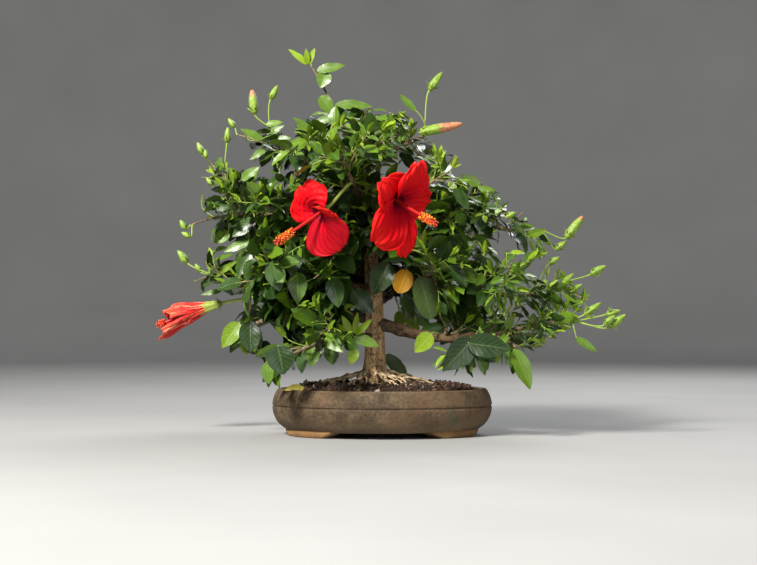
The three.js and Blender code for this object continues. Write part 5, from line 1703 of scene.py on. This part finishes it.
def make_buds(shoots, rng):
    """Buds on green stalks that leave their stems along the stem's way, with bracts round their feet."""
    bodies, bracts, opening = Heap(), Heap(), Heap()
    foot, tip = (np.array([getattr(bud, end) for bud in BUDS], float) for end in ("foot", "tip"))
    axis, length = unit(tip - foot), np.linalg.norm(tip - foot, axis=1)
    for bud, base, way, size in zip(BUDS, foot, axis, length):
        root = curve_points(STEMS[bud.stem], bud.at)
        lead = BUD["lead"] * np.linalg.norm(base - root)
        controls = [root, root + curve_way(STEMS[bud.stem], bud.at) * lead, base - way * lead, base + way]
        shares = np.linspace(0, 1, 12)
        radii = BUD["stalk"] * (1 + 0.5 * shares**6)
        tubes(shoots, curve_points(controls, shares)[None], radii[None], 6, 1.0)
        blunt = BUD["blunt"] if bud.opens == 1 else BUD["blunt_opening"]
        teeth = BUD["teeth"] if bud.opens < 1 else 0
        bud_body(bodies, base, way, size, bud.radius, 0, min(1, bud.opens + 0.6 * teeth), blunt, teeth)
        if bud.opens < 1:
            bud_body(opening, base, way, size, bud.radius * BUD["inner"], bud.opens - teeth, 1, blunt)
    bud_bracts(bracts, foot, axis, np.minimum(length, BUD["bract_most"]) * BUD["bract_share"], rng)
    nodes = [f"leaves_{name}" for name, mass in MASSES.items() if mass.buds]
    green = clouded_look("bud_green", (0.13, 0.23, 0.02), (0.3, 0.42, 0.06), 0.4)
    salmon = clouded_look("bud_salmon", (0.42, 0.13, 0.055), (0.56, 0.27, 0.14), 0.5)
    bodies.make("buds", green, "leaves", nodes)
    bracts.make("bud_bracts", green, "leaves", nodes)
    opening.make("buds_opening", salmon, "leaves", nodes)


def make_blooms():
    """The blooms: petals, throats, calyces, stalks and columns."""
    rng = np.random.default_rng(SEEDS["blooms"])
    petals, fading, calyces, stalks, columns, anthers, stigmas = (Heap() for _ in range(7))
    for bloom in BLOOMS.values():
        if bloom.open:
            sheets = [petal_sheet(bloom, petal, rng) for petal in bloom.petals]
            funnel, places = petal_funnel(bloom)
            petals.add(turned(bloom, funnel), [grid_faces(FUNNEL_ROWS, PETAL_COLUMNS)], places, 0)
        else:
            sheets = [rolled_petal(bloom, place, rng) for place in range(-2, 3)]
        for number, (sheet, places) in enumerate(sheets):
            heap = petals if bloom.open else fading
            faces = [grid_faces(PETAL_ROWS, PETAL_COLUMNS)]
            sag = 0 if bloom.open else BLOOM["sag"] * (sheet[..., 2:] / bloom.length) ** 2 * UP
            # The tints carry painted shade: an open petal's depth darkens it, and in the closing bloom the
            # back petal, at tint 0, is darkest.
            tint = bloom.petals[number].depth if bloom.open else abs(number - 2) / 2
            heap.add(turned(bloom, sheet) - sag, faces, places, tint)
        calyx_cup(calyces, bloom)
        bloom_stalk(stalks, bloom)
        bloom_column(columns, anthers, stigmas, bloom, rng)
    calyx = np.array([bloom.calyx for bloom in BLOOMS.values()], float)
    faces = unit(np.array([bloom.faces for bloom in BLOOMS.values()], float))
    bud_bracts(calyces, calyx - faces * 3, faces, np.full(len(calyx), 13.0), rng)
    nodes = list(BLOOMS)
    green = clouded_look("calyx_green", (0.16, 0.24, 0.03), (0.34, 0.42, 0.08), 0.45)
    red = clouded_look("column_red", (0.45, 0.008, 0.006), (0.62, 0.04, 0.015), 0.4)
    orange = clouded_look("anther_orange", (0.72, 0.1, 0.008), (0.9, 0.33, 0.02), 0.6)
    scarlet = clouded_look("stigma_red", (0.62, 0.03, 0.01), (0.8, 0.12, 0.03), 0.5)
    petals.make("petals", petal_look(), "petals", nodes, thickness=0.5)
    fading.make("petals_closing", fading_look(), "petals", nodes, thickness=0.5)
    calyces.make("calyces", green, "leaves", nodes)
    stalks.make("bloom_stalks", green, "leaves", nodes)
    columns.make("columns", red, "petals", nodes)
    anthers.make("anthers", orange, "petals", nodes)
    stigmas.make("stigmas", scarlet, "petals", nodes)


# Studio: a pale floor with a wall round it, soft light and the camera

STAGE = dict(middle=10, flat=1200, wall=5000, bend=1600, height=3200, sides=96)
LIGHT_AIM = Vector((0, 0, 0.25))

# Lights: place in metres, size in metres, power in watts, colour

LIGHTS = {
    "key": ((-1.1, -1.6, 1.7), 0.5, 128, (1, 0.97, 0.91)),
    "fill": ((1.2, -2.2, 0.6), 1.4, 17, (0.96, 0.98, 1)),
    "rim": ((0.9, 1.5, 1.7), 1.2, 34, (1, 1, 1)),
}


def make_studio():
    """The stage: a round pale floor that curves up into a wall all round."""
    turn = np.linspace(0, np.pi / 2, 16)
    bend = STAGE["bend"]
    curve = np.stack([STAGE["wall"] - bend + bend * np.sin(turn), bend - bend * np.cos(turn)], -1)
    flat = [(STAGE["middle"], 0), (STAGE["flat"], 0)]
    rows = np.concatenate([flat, curve, [(STAGE["wall"], STAGE["height"])]])
    sides = STAGE["sides"]
    angle = np.linspace(0, 2 * np.pi, sides, endpoint=False)[None, :]
    points = round_axis(rows[:, :1], angle, rows[:, 1:]) * MM
    mesh = bpy.data.meshes.new("floor")
    faces = grid_faces(len(rows), sides, around=True)[:, ::-1].tolist()
    mesh.from_pydata(points.reshape(-1, 3).tolist(), [], faces + [list(range(sides))])
    mesh.shade_smooth()
    pale = Look("floor", Roughness=0.8, Specular_IOR_Level=0.2)
    pale.set(Base_Color=pale.ramp(pale.noise(3, 2), (0.3, (0.33, 0.328, 0.325)), (0.7, (0.36, 0.357, 0.354))))
    mesh.materials.append(pale.material)
    floor = bpy.data.objects.new("floor", mesh)
    bpy.context.scene.collection.objects.link(floor)


def add_light(name, place, size, power, colour):
    """A square soft light, aimed at the middle of the crown."""
    light = bpy.data.lights.new(name, "AREA")
    light.size = size
    light.energy = power
    light.color = colour
    lamp = bpy.data.objects.new(name, light)
    lamp.location = place
    lamp.rotation_euler = (LIGHT_AIM - Vector(place)).to_track_quat("-Z", "Y").to_euler()
    bpy.context.scene.collection.objects.link(lamp)


def make_light():
    """Three soft lights and a pale sky."""
    for name, light in LIGHTS.items():
        add_light(name, *light)
    world = bpy.data.worlds.new("studio")
    world.use_nodes = True
    world.node_tree.nodes["Background"].inputs["Color"].default_value = (0.9, 0.95, 1, 1)
    world.node_tree.nodes["Background"].inputs["Strength"].default_value = 0.32
    bpy.context.scene.world = world
    bpy.context.scene.view_settings.view_transform = "Standard"


def make_camera():
    """The camera, level with the lower crown and aimed a little upwards."""
    camera = bpy.data.cameras.new("camera")
    camera.lens = CAMERA["lens"]
    camera.sensor_width = 36
    eye = bpy.data.objects.new("camera", camera)
    eye.location = Vector((CAMERA["x"], -CAMERA["distance"], CAMERA["height"])) * MM
    aim = Vector((CAMERA["x"], 0, CAMERA["aim"])) * MM
    eye.rotation_euler = (aim - eye.location).to_track_quat("-Z", "Y").to_euler()
    bpy.context.scene.collection.objects.link(eye)
    bpy.context.scene.camera = eye


make_pot()
make_soil()
make_wood()
make_foliage()
make_blooms()
make_studio()
make_light()
make_camera()
